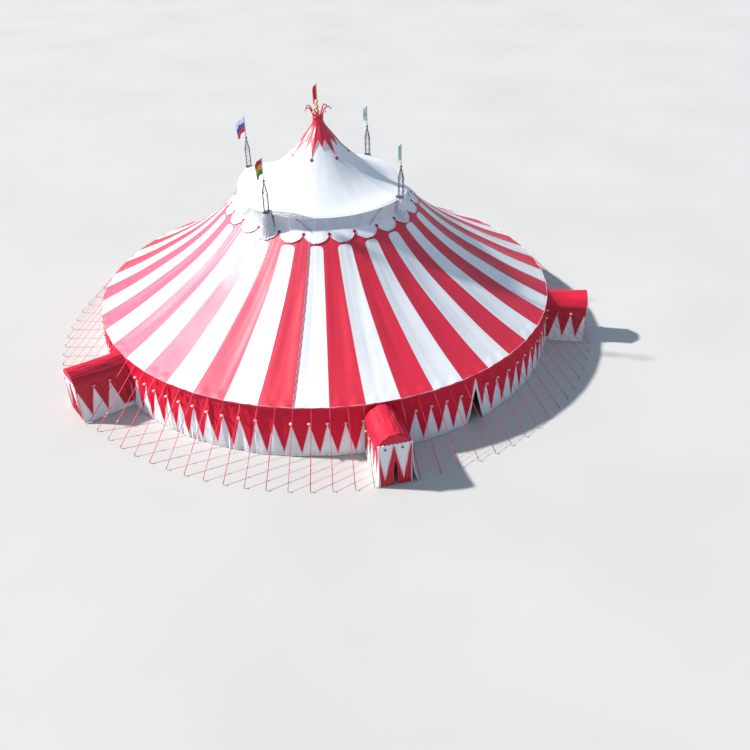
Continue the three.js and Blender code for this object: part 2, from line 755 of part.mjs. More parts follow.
// Two hoops of tube inside the cover, joined by a rail at each springing
function porchFrame({ face }) {
  const lining = PORCH_CLOTH + GAP;
  const tube = [lining, lining + PORCH_TUBE];
  const legs = straightLegs(0);
  const frameEnd = face - lining - GAP;
  const frontHoop = hoop(tube, legs, frameEnd - PORCH_TUBE, frameEnd);
  const rearHoop = hoop(tube, legs, PORCH_REAR_HOOP, PORCH_REAR_HOOP + PORCH_TUBE);
  const railX = PORCH_HALF - lining - PORCH_TUBE / 2;
  const railSize = [PORCH_RAIL, frameEnd - PORCH_REAR_HOOP - PORCH_TUBE, PORCH_RAIL];
  const railY = -(PORCH_REAR_HOOP + frameEnd) / 2;
  const rails = [-railX, railX].map((x) => block(railSize, [x, railY, PORCH_SPRING - PORCH_TUBE]));
  return joined(rails).add(frontHoop).add(rearHoop);
}

function porchCurtains({ face }) {
  const drape = archOutline(0, straightLegs(WALL_FOOT, CURTAIN_FOOT_HALF));
  const slit = block([2 * SLIT_HALF, 1, SLIT_HIGH], [0, -face, SLIT_HIGH / 2]);
  return solid(alongFront(drape, face - PORCH_CLOTH, face)).subtract(solid(slit));
}

function makePorches() {
  const eave = heightAt(canopyUnder, WALL_TOP_RADIUS);
  const insideWall = solid(
    turned([
      [0, -1],
      [WALL_FOOT_RADIUS + GAP, -1],
      [WALL_FOOT_RADIUS + GAP, WALL_FOOT],
      [WALL_TOP_RADIUS + GAP, eave],
      [0, eave],
    ]),
  );
  Object.entries(PORCHES).forEach(([side, porch]) => {
    const cover = atGate(porchCover(porch), porch).subtract(insideWall);
    place(`porch_${side}_cover`, cover, RED_CLOTH);
    place(`porch_${side}_frame`, atGate(porchFrame(porch), porch), WHITE_PAINT);
    place(`porch_${side}_curtains`, atGate(porchCurtains(porch), porch), RED_CLOTH);
  });
}

// The ring under the eave in quarters, each on its poles, one pole to a stripe
function makeSidePoles() {
  const radii = [RING_OUTER_RADIUS, RING_INNER_RADIUS];
  const outline = between(
    radii.map((radius) => [radius, heightAt(canopyUnder, radius) - GAP * 2]),
    radii.map((radius) => [radius, heightAt(canopyUnder, radius) - RING_DEEP]),
  );
  const poleRadius = (RING_INNER_RADIUS + RING_OUTER_RADIUS) / 2;
  const poleTop = heightAt(canopyUnder, RING_OUTER_RADIUS) - RING_DEEP / 2;
  const pole = bar([poleRadius, 0, 0], [poleRadius, 0, poleTop], POLE_RADIUS, POLE_SIDES);
  const poles = [];
  for (let deg = HALF_FACET_DEG; deg < QUARTER_DEG; deg += FACET_DEG) {
    poles.push(pole.clone().rotateZ(rad(deg)));
  }
  const quarter = solid(turned(outline)).intersect(wedge(0, QUARTER_DEG)).add(joined(poles));
  QUARTERS.forEach((i) => {
    place(`side_poles_${i + 1}`, aroundAxis(quarter, i * QUARTER_DEG), STEEL);
  });
}

// A flat strap from the webbing down to its stake, in the upright plane through +X
function strapAndStake(headRadius) {
  const head = (WEBBING_TOP + WEBBING_FOOT) / 2;
  const stakeIn = STAKE_OUT_RADIUS - STAKE_THICK;
  const outline = [
    [headRadius, head + STRAP_THICK / 2],
    [headRadius, head - STRAP_THICK / 2],
    [stakeIn, STRAP_FOOT_HEIGHT - STRAP_THICK],
    [stakeIn, 0],
    [STAKE_OUT_RADIUS, 0],
    [STAKE_OUT_RADIUS, STAKE_HIGH],
    [stakeIn, STAKE_HIGH],
    [stakeIn, STRAP_FOOT_HEIGHT],
  ];
  return prism(outline, STRAP_WIDE).rotateX(Math.PI / 2).translate(0, (STRAP_WIDE / 2) * M, 0);
}

// Webbing round the eave with a strap every half stripe, except in front of a porch
function makeGuyStraps() {
  const rim = CANOPY[0][0] + GAP;
  const webbing = solid(
    turned([
      [rim, WEBBING_TOP],
      [rim, WEBBING_FOOT],
      [rim + WEBBING_THICK, WEBBING_FOOT],
      [rim + WEBBING_THICK, WEBBING_TOP],
    ]),
  );
  const porchAngles = Object.values(PORCHES).map(({ deg }) => deg);
  QUARTERS.forEach((i) => {
    const start = i * QUARTER_DEG;
    const straps = [];
    for (let deg = start; deg < start + QUARTER_DEG; deg += HALF_FACET_DEG) {
      const flat = deg % FACET_DEG === 0 ? FACET_FLAT : 1;
      if (!porchAngles.includes(deg)) {
        const strap = strapAndStake((rim + WEBBING_THICK / 2) * flat);
        straps.push(strap.rotateZ(rad(STRAPS_ASIDE[deg] ?? deg)));
      }
    }
    const cut = start - HALF_FACET_DEG / 2;
    const quarter = webbing.intersect(wedge(cut, cut + QUARTER_DEG)).add(joined(straps));
    place(`guy_straps_${i + 1}`, quarter, RED_CLOTH);
  });
}

makeCanopy();
makeCollar();
makeCupola();
makeVentilationBand();
makeCap();
makeCrown();
makeKingPole();
makeCradle();
makeMasts();
makeBoots();
makeFlags();
makeWalls();
makePorches();
makeSidePoles();
makeGuyStraps();

export default tent;
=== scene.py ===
"""Circus big top tent: cloth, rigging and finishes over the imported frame.

Sizes are those of the real tent, in metres, and SCALE turns them into the 1:2 model. Directions
are in degrees from +X, and the front porch faces -Y. Canvas is made by code: each sheet is a grid
that is sagged, folded and creased, then given a thin skin.
"""

import json
import math

import bpy
import numpy as np
from mathutils import Matrix, Vector
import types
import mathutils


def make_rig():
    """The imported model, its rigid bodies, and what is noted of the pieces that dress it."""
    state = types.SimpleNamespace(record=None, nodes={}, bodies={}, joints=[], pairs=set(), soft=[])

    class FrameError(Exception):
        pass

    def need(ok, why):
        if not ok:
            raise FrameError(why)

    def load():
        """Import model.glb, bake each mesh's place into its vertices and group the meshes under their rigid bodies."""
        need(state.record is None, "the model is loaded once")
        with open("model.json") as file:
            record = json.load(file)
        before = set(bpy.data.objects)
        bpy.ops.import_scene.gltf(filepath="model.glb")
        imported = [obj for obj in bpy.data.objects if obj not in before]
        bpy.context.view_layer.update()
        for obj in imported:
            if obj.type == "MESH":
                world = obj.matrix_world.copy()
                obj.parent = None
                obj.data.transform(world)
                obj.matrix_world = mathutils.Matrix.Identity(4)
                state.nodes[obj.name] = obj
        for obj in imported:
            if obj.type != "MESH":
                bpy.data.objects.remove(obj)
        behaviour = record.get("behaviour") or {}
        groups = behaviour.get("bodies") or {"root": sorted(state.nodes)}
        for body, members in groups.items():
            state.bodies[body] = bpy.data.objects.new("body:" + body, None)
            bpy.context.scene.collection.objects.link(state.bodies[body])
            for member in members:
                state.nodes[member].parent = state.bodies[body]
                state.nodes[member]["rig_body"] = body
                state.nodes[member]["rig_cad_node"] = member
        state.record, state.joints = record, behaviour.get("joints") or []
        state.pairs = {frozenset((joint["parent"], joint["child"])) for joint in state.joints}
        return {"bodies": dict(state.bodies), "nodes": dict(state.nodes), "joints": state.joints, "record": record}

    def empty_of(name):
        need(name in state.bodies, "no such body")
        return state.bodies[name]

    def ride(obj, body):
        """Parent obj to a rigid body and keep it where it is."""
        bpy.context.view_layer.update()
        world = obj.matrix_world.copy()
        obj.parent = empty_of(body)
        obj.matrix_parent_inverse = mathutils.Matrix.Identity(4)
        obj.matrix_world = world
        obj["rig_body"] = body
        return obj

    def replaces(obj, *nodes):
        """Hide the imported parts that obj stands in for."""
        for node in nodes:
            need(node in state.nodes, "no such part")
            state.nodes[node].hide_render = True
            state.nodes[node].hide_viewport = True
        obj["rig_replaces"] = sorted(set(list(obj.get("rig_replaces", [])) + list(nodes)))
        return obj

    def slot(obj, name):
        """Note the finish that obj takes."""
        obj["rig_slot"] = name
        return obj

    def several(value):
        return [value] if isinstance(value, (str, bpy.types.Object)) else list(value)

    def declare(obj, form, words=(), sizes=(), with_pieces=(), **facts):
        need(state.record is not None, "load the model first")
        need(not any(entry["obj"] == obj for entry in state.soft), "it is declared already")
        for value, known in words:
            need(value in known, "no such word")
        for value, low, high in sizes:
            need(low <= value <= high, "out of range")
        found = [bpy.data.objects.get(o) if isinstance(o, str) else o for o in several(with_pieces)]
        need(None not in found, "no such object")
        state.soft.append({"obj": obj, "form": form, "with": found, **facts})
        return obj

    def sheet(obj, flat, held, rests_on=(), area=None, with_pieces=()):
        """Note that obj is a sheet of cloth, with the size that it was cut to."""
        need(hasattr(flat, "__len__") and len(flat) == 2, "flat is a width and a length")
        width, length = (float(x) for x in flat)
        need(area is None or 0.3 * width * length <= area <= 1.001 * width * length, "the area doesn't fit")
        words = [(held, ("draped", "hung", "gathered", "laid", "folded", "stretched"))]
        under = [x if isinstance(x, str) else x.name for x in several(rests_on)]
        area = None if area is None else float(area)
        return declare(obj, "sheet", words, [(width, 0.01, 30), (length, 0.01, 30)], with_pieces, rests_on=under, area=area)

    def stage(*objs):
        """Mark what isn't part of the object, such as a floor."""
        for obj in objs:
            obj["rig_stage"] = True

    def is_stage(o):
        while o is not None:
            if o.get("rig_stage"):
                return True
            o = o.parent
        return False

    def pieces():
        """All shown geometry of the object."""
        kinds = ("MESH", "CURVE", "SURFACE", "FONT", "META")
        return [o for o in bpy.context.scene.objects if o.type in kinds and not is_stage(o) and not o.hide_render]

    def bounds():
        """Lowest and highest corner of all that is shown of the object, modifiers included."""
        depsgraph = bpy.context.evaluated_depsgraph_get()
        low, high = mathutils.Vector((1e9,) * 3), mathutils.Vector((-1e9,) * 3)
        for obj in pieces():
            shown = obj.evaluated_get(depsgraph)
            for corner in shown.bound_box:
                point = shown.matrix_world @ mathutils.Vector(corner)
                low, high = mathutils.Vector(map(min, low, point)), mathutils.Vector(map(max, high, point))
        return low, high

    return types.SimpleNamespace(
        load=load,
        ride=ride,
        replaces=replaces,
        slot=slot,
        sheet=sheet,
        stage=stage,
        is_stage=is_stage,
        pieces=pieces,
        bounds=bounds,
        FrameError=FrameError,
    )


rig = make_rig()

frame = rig.load()
CAD_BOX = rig.bounds()

bl_info = {
    "name": "Circus Big Top",
    "version": (1, 0, 0),
    "blender": (4, 5, 0),
    "location": "View3D > Sidebar > Big Top",
    "description": "Striped big top with cupola, star cap, lattice masts, porches and guy straps",
    "category": "Object",
}

SCALE = 0.5
SIZE_FILE = "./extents.json"
SHARP_ANGLE = 40.0

# Plan of the tent
STRIPE = 15.0
FACET = 7.5
HALF_FACET = 3.75
FRONT = 270.0
DOOR = 292.5
SEAMS = (251.25, 341.25, 71.25, 161.25)
CORNERS = {"rear_right": 45.0, "rear_left": 135.0, "front_left": 225.0, "front_right": 315.0}
PORCHES = {
    "left": {"deg": 202.5, "face": 25.6, "shift": 0.0, "lean": 0.0, "flares": (0.15, 0.45)},
    "front": {"deg": 270.0, "face": 25.41, "shift": -0.25, "lean": 0.3, "flares": (0.08, 0.45)},
    "right": {"deg": 337.5, "face": 24.78, "shift": 0.0, "lean": 0.0, "flares": (0.5, 0.15)},
}

# Profiles as (radius, height), from the edge inwards
CANOPY = ((21.06, 4.47), (18.06, 5.89), (15.12, 7.51), (12.6, 9.04), (10.5, 10.6), (8.82, 12.12),
          (7.9, 12.95), (7.55, 13.25))
CUPOLA = ((7.45, 13.87), (7.25, 13.955), (5.88, 14.56), (4.2, 15.6), (2.94, 16.64), (1.89, 17.66),
          (1.155, 18.55), (0.63, 19.2), (0.42, 19.6), (0.4, 19.95))
EAVE_RADIUS = 21.06
CANOPY_INNER = 7.6
SEAM_GAP = 0.015
STRIPE_END_RADIUS = 8.87
STRIPE_ROUNDING = 0.4
PETALS = 24
PETAL_TIP = 8.82
PETAL_NOTCH = 8.1

# How far the cloth follows the flat sides between two ridges, from 0 (round) to 1 (flat)
FLATNESS = 0.85

# Cupola, band, cap and crown
CUPOLA_EDGE = 7.45
CUPOLA_NECK_TOP = 19.9
CORNER_REACH = 0.65
CORNER_LIFT = 0.25
PULL_START = 4.16
PULL_SPAN = 3.05
BAND_FOOT_RADIUS = 7.95
BAND_TOP_RADIUS = 7.42
CAP_POINTS = 7
CAP_STEP = 360 / (CAP_POINTS * 4)
CAP_FIRST = 242.4
CAP_LONG = 2.4
CAP_SHORT = 1.82
CAP_VALLEY = 1.33
CROWN_FOOT = 19.955
HORN_PATH = ((0.35, 0.02), (0.4, 0.25), (0.52, 0.52), (0.67, 0.79), (0.84, 0.92), (1.0, 0.9),
             (1.12, 0.8))

# Masts, and how far from each mast's middle the cloth stops
MAST_CIRCLE = 8.17
MAST_HALF = 0.19
MAST_SHOULDER = 16.0
MAST_HEAD = 17.0
FLAGPOLE_TOP = 18.9
APEX_FLAG_TOP = 22.72
BOOT_BASE = 12.05
BOOT_TOP = 14.3
CANOPY_GAP = 0.45
CUPOLA_GAP = 0.47
BAND_GAP = 0.56
COLLAR_GAP = 0.6
DOT_GAP = 0.68

# Side wall
WALL_TOP_RADIUS = 21.0
WALL_FOOT_RADIUS = 21.34
WALL_FOOT = 0.05
WALL_TOP = 4.41
TOOTH = 3.75
TOOTH_SHIFT = -0.6
TOOTH_TIP = 2.98
TOOTH_FOOT = 0.3
MISSING_BALL = 247.5
WALL_STEP = 0.46875
STAKE_RADIUS = 25.37
DOOR_HALF = 0.8
DOOR_HIGH = 3.2
PORCH_HALF = 1.3
PORCH_SPRING = 3.5
PORCH_CROWN = 4.36
PORCH_REAR_HOOP = 21.5


def length_setting(label, about, size):
    """A length of the real tent as a setting."""
    return bpy.props.FloatProperty(name=label, description=about, default=size, unit="LENGTH")


def colour_setting(label, about, shade):
    """A colour as a setting."""
    return bpy.props.FloatVectorProperty(
        name=label, description=about, default=shade, subtype="COLOR", size=3)


class TentSizes(bpy.types.PropertyGroup):
    """Sizes of the real tent's cloth and trim; the model has half of each."""

    skin: length_setting("Cloth skin", "Thickness of a sheet of cloth", 0.012)
    canopy_sag: length_setting("Canopy sag", "Sag of the canopy between two ridges", 0.07)
    eave_scallop: length_setting("Eave scallop", "Rise of the eave between two straps", 0.07)
    wall_fold: length_setting("Wall folds", "Depth of the folds in the side wall", 0.09)
    ball_width: length_setting("Wall balls", "Width of the balls on the wall", 0.3)
    dot_width: length_setting("Collar dots", "Width of the dots between petals", 0.3)
    rope_width: length_setting("Ropes", "Width of the lacing ropes", 0.022)
    strap_width: length_setting("Guy straps", "Width of the flat guy straps", 0.06)
    cap_gloss: bpy.props.FloatProperty(
        name="Cap gloss", description="Strength of the cap's clear coat", default=0.7,
        subtype="FACTOR", min=0.0, max=1.0)


class TentColours(bpy.types.PropertyGroup):
    """Colours of cloth, paint and metal."""

    red: colour_setting("Red", "Red cloth", (0.74, 0.008, 0.042))
    white: colour_setting("White", "White cloth", (0.87, 0.87, 0.89))
    cream: colour_setting("Cream", "Pale borders", (0.9, 0.62, 0.66))
    navy: colour_setting("Navy", "Dots", (0.03, 0.05, 0.16))
    grey: colour_setting("Grey", "Ventilation mesh", (0.7, 0.73, 0.8))
    gold: colour_setting("Gold", "King pole and spire", (0.62, 0.4, 0.09))
    steel: colour_setting("Steel", "Galvanised poles and beams", (0.4, 0.42, 0.45))
    floor: colour_setting("Floor", "Studio floor", (0.52, 0.51, 0.49))


def named(sockets, key):
    """The socket at a number, or the one with an identifier."""
    if isinstance(key, int):
        return sockets[key]
    return next(socket for socket in sockets if socket.identifier == key)


def opaque(shade):
    """A colour with its alpha, or a field as it is."""
    return shade if isinstance(shade, Field) else (*shade, 1.0)


class Field:
    """A node socket that takes part in arithmetic; each operator adds a Math node."""

    def __init__(self, finish, socket):
        self.finish = finish
        self.socket = socket

    def maths(self, operation, *values):
        inputs = dict(enumerate(values))
        return self.finish.node("ShaderNodeMath", {"operation": operation}, inputs)

    def __add__(self, other):
        return self.maths("ADD", self, other)

    def __radd__(self, other):
        return self.maths("ADD", other, self)

    def __sub__(self, other):
        return self.maths("SUBTRACT", self, other)

    def __rsub__(self, other):
        return self.maths("SUBTRACT", other, self)

    def __mul__(self, other):
        return self.maths("MULTIPLY", self, other)

    def __rmul__(self, other):
        return self.maths("MULTIPLY", other, self)

    def __truediv__(self, other):
        return self.maths("DIVIDE", self, other)

    def __pow__(self, other):
        return self.maths("POWER", self, other)

    def __mod__(self, other):
        return self.maths("FLOORED_MODULO", self, other)

    def __abs__(self):
        return self.maths("ABSOLUTE", self)

    def least(self, other):
        return self.maths("MINIMUM", self, other)

    def most(self, other):
        return self.maths("MAXIMUM", self, other)

    def root(self):
        return self.maths("SQRT", self)

    def sine(self):
        return self.maths("SINE", self)


class Finish:
    """One material while it is being made; here is the place of a point, in real metres."""

    def __init__(self, name):
        self.material = bpy.data.materials.new(name)
        self.material.use_nodes = True
        self.tree = self.material.node_tree
        self.tree.nodes.clear()
        self.here = self.node("ShaderNodeVectorMath", {"operation": "SCALE"}, {
            "Vector": self.node("ShaderNodeTexCoord", output="Object"), "Scale": 1.0 / SCALE})

    def node(self, kind, settings=None, inputs=None, output=0):
        """Adds a node: its settings first, then the values or links of its sockets."""
        made = self.tree.nodes.new(kind)
        for name, value in (settings or {}).items():
            setattr(made, name, value)
        for key, value in (inputs or {}).items():
            socket = named(made.inputs, key)
            if isinstance(value, Field):
                self.tree.links.new(value.socket, socket)
            else:
                socket.default_value = value
        return Field(self, named(made.outputs, output))

    def parts(self, vector):
        split = self.node("ShaderNodeSeparateXYZ", inputs={"Vector": vector})
        return [Field(self, socket) for socket in split.socket.node.outputs]

    def marks(self):
        """The three values that each point of the cloth carries."""
        return self.parts(self.attribute("cloth"))

    def edges(self, inside):
        """1 inside an edge, and the pale border that runs along it."""
        return self.ramp(inside, -0.01, 0.01), self.band(inside - 0.04, 0.045, 0.012)

    def vector(self, x, y, z):
        return self.node("ShaderNodeCombineXYZ", inputs={"X": x, "Y": y, "Z": z})

    def about_axis(self):
        """Direction in degrees, radius and height of a point round the tent's axis."""
        x, y, z = self.parts(self.here)
        turn = x.maths("ARCTAN2", y, x) * math.degrees(1.0)
        radius = (x * x + y * y).root()
        return turn, radius, z

    def attribute(self, name):
        return self.node("ShaderNodeAttribute", {"attribute_name": name}, output="Vector")

    def ramp(self, value, low, high):
        """0 below low and 1 above high, with a soft change between."""
        return self.node("ShaderNodeMapRange", {"interpolation_type": "SMOOTHSTEP"},
                         {"Value": value, "From Min": low, "From Max": high})

    def band(self, value, half, soft):
        """1 where value is within half of zero."""
        return 1.0 - self.ramp(abs(value), half - soft, half + soft)

    def nearest(self, value, step, start):
        """Distance from the nearest of the values start, start + step and so on."""
        return abs((value - (start - step / 2)) % step - step / 2)

    def mix(self, factor, first, second, blend="MIX"):
        inputs = {"Factor_Float": factor, "A_Color": opaque(first), "B_Color": opaque(second)}
        settings = {"data_type": "RGBA", "blend_type": blend}
        return self.node("ShaderNodeMix", settings, inputs, "Result_Color")

    def shade(self, factor, colour, tint):
        """A colour multiplied by a tint where the factor is 1."""
        return self.mix(factor, colour, tint, "MULTIPLY")

    def noise(self, vector, scale, detail=3.0, rough=0.55, warp=0.0):
        return self.node("ShaderNodeTexNoise", {"noise_dimensions": "3D"},
                         {"Vector": vector, "Scale": scale, "Detail": detail,
                          "Roughness": rough, "Distortion": warp}, "Fac")

    def spots(self, scale, detail=3.0, rough=0.55, warp=0.0):
        """Noise over the place of a point."""
        return self.noise(self.here, scale, detail, rough, warp)

    def worn(self, colour, amount=0.5, size=0.35):
        """Large soft patches of weather and a finer mottling over a colour."""
        patches = self.ramp(self.spots(size), 0.42, 0.72)
        mottle = self.ramp(self.spots(size * 9, 4.0, 0.6), 0.4, 0.75)
        faded = self.shade(patches * amount, colour, (0.8, 0.82, 0.87))
        return self.shade(mottle * (amount * 0.5), faded, (0.86, 0.85, 0.86))

    def weave(self):
        """Height of a cloth's threads and small creases."""
        fine = 60.0
        x, y, z = self.parts(self.here)
        threads = ((x * fine).sine() * (y * fine).sine() + (z * fine).sine()) * 0.03
        return threads + self.spots(5.0, 4.0, 0.6)

    def done(self, colour, roughness, height, deep, **sockets):
        """Ends the material in a Principled surface with a relief that is deep at a height of 1.

        A _ in a socket's name stands for a space.
        """
        relief = self.node("ShaderNodeBump", inputs={"Height": height, "Distance": deep * SCALE})
        inputs = {"Base Color": opaque(colour), "Roughness": roughness, "Normal": relief}
        for label, value in sockets.items():
            inputs[label.replace("_", " ")] = value
        surface = self.node("ShaderNodeBsdfPrincipled", inputs=inputs)
        end = self.tree.nodes.new("ShaderNodeOutputMaterial")
        self.tree.links.new(surface.socket, end.inputs["Surface"])
        return self.material


class Piece:
    """Points and faces of a piece while it is being made, in real metres."""

    def __init__(self):
        self.points = []
        self.faces = []
        self.cloth = []
        self.count = 0

    def add(self, points, faces, cloth=None):
        """Adds one closed body, turned so that it faces outwards. faces is one array or several."""
        groups = faces if isinstance(faces, tuple) else (faces,)
        flat = np.concatenate([group.ravel() for group in groups])
        used, order = np.unique(flat, return_inverse=True)
        points = np.asarray(points, float)
        marks = np.zeros_like(points) if cloth is None else np.asarray(cloth, float)
        ends = np.cumsum([group.size for group in groups])[:-1]
        parts = [part.reshape(group.shape) for part, group in zip(np.split(order, ends), groups)]
        if sum(volume(points[used], part) for part in parts) < 0:
            parts = [part[:, ::-1] for part in parts]
        self.points.append(points[used])
        self.cloth.append(marks[used])
        for part in parts:
            self.faces.extend((part + self.count).tolist())
        self.count += len(used)

    def sheet(self, grid, skin, cloth=None, keep=None, closed=False):
        """Adds a grid of points as a sheet with a thin skin."""
        rows, columns = grid.shape[:2]
        quads = grid_faces(rows, columns, closed, keep)
        points, faces = thicken(grid.reshape(-1, 3), quads, skin)
        self.add(points, faces, None if cloth is None else np.vstack([cloth.reshape(-1, 3)] * 2))

    def make(self, name, *materials):
        """The piece as an object, at the model's scale."""
        mesh = bpy.data.meshes.new(name)
        mesh.from_pydata((np.vstack(self.points) * SCALE).tolist(), [], self.faces)
        for material in materials:
            mesh.materials.append(material)
        marks = mesh.attributes.new("cloth", "FLOAT_VECTOR", "POINT")
        marks.data.foreach_set("vector", np.vstack(self.cloth).ravel())
        return shown(name, smoothed(mesh))


def smoothed(mesh):
    """A mesh with smooth faces, creased where they meet at more than a set angle."""
    mesh.polygons.foreach_set("use_smooth", [True] * len(mesh.polygons))
    mesh.set_sharp_from_angle(angle=math.radians(SHARP_ANGLE))
    return mesh


def shown(name, data):
    """An object of its own for a mesh, a lamp or a camera."""
    made = bpy.data.objects.new(name, data)
    bpy.context.scene.collection.objects.link(made)
    return made


def stacked(x, y, z):
    """Three arrays or numbers as one array, of points or of what they carry."""
    return np.stack(np.broadcast_arrays(x, y, z), -1)


def polar(deg, radius, height):
    """Points at a direction, a radius and a height, any of which may be an array."""
    turn, radius, height = np.broadcast_arrays(np.radians(deg), radius, height)
    return np.stack([radius * np.cos(turn), radius * np.sin(turn), height], -1)


def turned(points, deg, centre=(0.0, 0.0, 0.0)):
    """Points turned about Z and then moved to a centre."""
    turn = math.radians(deg)
    x = points[..., 0] * math.cos(turn) - points[..., 1] * math.sin(turn)
    y = points[..., 0] * math.sin(turn) + points[..., 1] * math.cos(turn)
    return np.stack([x, y, points[..., 2]], -1) + np.asarray(centre)


def smooth_line(points, count=160):
    """A smooth line through points, as count points."""
    given = np.asarray(points, float)
    padded = np.vstack([2 * given[0] - given[1], given, 2 * given[-1] - given[-2]])
    share = np.linspace(0, len(given) - 1, count)
    start = np.minimum(share.astype(int), len(given) - 2)
    t = (share - start)[:, None]
    a, b, c, d = (padded[start + i] for i in range(4))
    linear = 2 * b + (c - a) * t
    return 0.5 * (linear + (2 * a - 5 * b + 4 * c - d) * t**2 + (3 * b - a - 3 * c + d) * t**3)


def height_on(line, radius):
    """Height of a profile at a radius; the profile runs inwards."""
    return np.interp(-np.asarray(radius), -line[:, 0], line[:, 1])


def waves(first, second, seed, count=5, slow=1.0, fast=4.0):
    """A smooth irregular pattern over two coordinates, about -1 to 1."""
    chance = np.random.default_rng(seed)
    total = 0.0
    for _ in range(count):
        turn = chance.uniform(0, 2 * math.pi)
        pace = chance.uniform(slow, fast)
        across = math.cos(turn) * first + math.sin(turn) * second
        total = total + np.sin(pace * across + chance.uniform(0, 2 * math.pi))
    return total / math.sqrt(count)


def soft_step(value, low, high):
    share = np.clip((value - low) / (high - low), 0, 1)
    return share * share * (3 - 2 * share)


def from_nearest(value, step, start):
    """Distance from the nearest of the values start, start + step and so on."""
    return np.abs((value - start + step / 2) % step - step / 2)


def volume(points, faces):
    """Six times the volume that closed faces hold, negative where they face inwards."""
    total = 0.0
    for i in range(1, faces.shape[1] - 1):
        a, b, c = (points[faces[:, k]] for k in (0, i, i + 1))
        total += np.einsum("ij,ij->", a, np.cross(b, c))
    return total


def grid_faces(rows, columns, closed=False, keep=None):
    """Quads of a grid of points. closed joins the last column to the first."""
    index = np.arange(rows * columns).reshape(rows, columns)
    left = index if closed else index[:, :-1]
    right = np.roll(index, -1, 1) if closed else index[:, 1:]
    quads = np.stack([left[:-1], right[:-1], right[1:], left[1:]], -1)
    if keep is not None:
        quads = quads[keep]
    return quads.reshape(-1, 4)


def normals_of(points, quads):
    a, b, c, d = (points[quads[:, i]] for i in range(4))
    across = np.cross(c - a, d - b)
    total = np.zeros_like(points)
    for i in range(4):
        np.add.at(total, quads[:, i], across)
    return total / np.maximum(np.linalg.norm(total, axis=1, keepdims=True), 1e-12)


def thicken(points, quads, skin):
    """A sheet as a closed skin: its face, its back and a rim round its edges."""
    count = len(points)
    back = points - normals_of(points, quads) * skin
    edges = np.concatenate([quads[:, [i, (i + 1) % 4]] for i in range(4)])
    key = edges.min(1) * count + edges.max(1)
    _, first, number = np.unique(key, return_index=True, return_counts=True)
    rim = edges[first[number == 1]]
    side = np.stack([rim[:, 1], rim[:, 0], rim[:, 0] + count, rim[:, 1] + count], 1)
    return np.vstack([points, back]), np.vstack([quads, quads[:, ::-1] + count, side])


def cut_of(*grids):
    width = length = area = 0.0
    for grid in grids:
        across = np.linalg.norm(np.diff(grid, axis=1), axis=2).sum(1).max()
        along = np.linalg.norm(np.diff(grid, axis=0), axis=2).sum(0).max()
        diagonals = np.cross(grid[1:, 1:] - grid[:-1, :-1], grid[1:, :-1] - grid[:-1, 1:])
        area += np.linalg.norm(diagonals, axis=2).sum() / 2
        width += across
        length = max(length, along)
    flat = (float(width * SCALE), float(length * SCALE))
    return {"flat": flat, "area": float(area * SCALE**2)}


def turned_body(profile, sides, centre=(0.0, 0.0, 0.0)):
    """A closed body from a profile of (radius, height) that starts and ends near the axis."""
    line = np.asarray(profile, float)
    ring = polar(np.arange(sides) * 360 / sides, line[:, :1], line[:, 1:])
    points = ring.reshape(-1, 3) + np.asarray(centre)
    quads = grid_faces(len(line), sides, closed=True)
    foot = len(points)
    points = np.vstack([points, [[0, 0, line[0, 1]], [0, 0, line[-1, 1]]] + np.asarray(centre)])
    low = np.arange(sides)
    high = low + (len(line) - 1) * sides
    ends = [np.stack([np.full(sides, foot), np.roll(low, -1), low], 1),
            np.stack([np.full(sides, foot + 1), high, np.roll(high, -1)], 1)]
    return points, (quads, np.vstack(ends))


class Recipe:
    """A Geometry Nodes tree with named inputs, run once to make a plain mesh."""

    def __init__(self, name, **inputs):
        self.tree = bpy.data.node_groups.new(name, "GeometryNodeTree")
        sides = self.tree.interface
        sides.new_socket(name="Geometry", in_out="INPUT", socket_type="NodeSocketGeometry")
        sides.new_socket(name="Geometry", in_out="OUTPUT", socket_type="NodeSocketGeometry")
        self.given = {}
        for label, kind in {**inputs, "Finish": "Material"}.items():
            self.given[label] = sides.new_socket(
                name=label, in_out="INPUT", socket_type=f"NodeSocket{kind}")
        self.entry = self.tree.nodes.new("NodeGroupInput")

    def source(self, label="Geometry"):
        """The output of the tree's input node under a name."""
        return self.entry.outputs[label]

    def node(self, kind, settings=None, inputs=None):
        made = self.tree.nodes.new(kind)
        for name, value in (settings or {}).items():
            setattr(made, name, value)
        for name, value in (inputs or {}).items():
            if isinstance(value, bpy.types.NodeSocket):
                self.tree.links.new(value, made.inputs[name])
            else:
                made.inputs[name].default_value = value
        return made.outputs[0]

    def attribute(self, name, kind="FLOAT"):
        return self.node("GeometryNodeInputNamedAttribute", {"data_type": kind}, {"Name": name})

    def end(self, geometry):
        real = self.node("GeometryNodeRealizeInstances", None, {"Geometry": geometry})
        inputs = {"Geometry": real, "Material": self.source("Finish")}
        last = self.tree.nodes.new("NodeGroupOutput")
        self.tree.links.new(self.node("GeometryNodeSetMaterial", None, inputs), last.inputs[0])

    def run(self, name, mesh, **values):
        """Runs the tree on a mesh and returns the result as a plain object."""
        start = shown(name + "_start", mesh)
        modifier = start.modifiers.new(name, "NODES")
        modifier.node_group = self.tree
        for label, value in values.items():
            modifier[self.given[label].identifier] = value
        ready = start.evaluated_get(bpy.context.evaluated_depsgraph_get())
        result = bpy.data.meshes.new_from_object(ready)
        start.modifiers.remove(modifier)
        bpy.data.objects.remove(start)
        result.name = name
        return shown(name, smoothed(result))


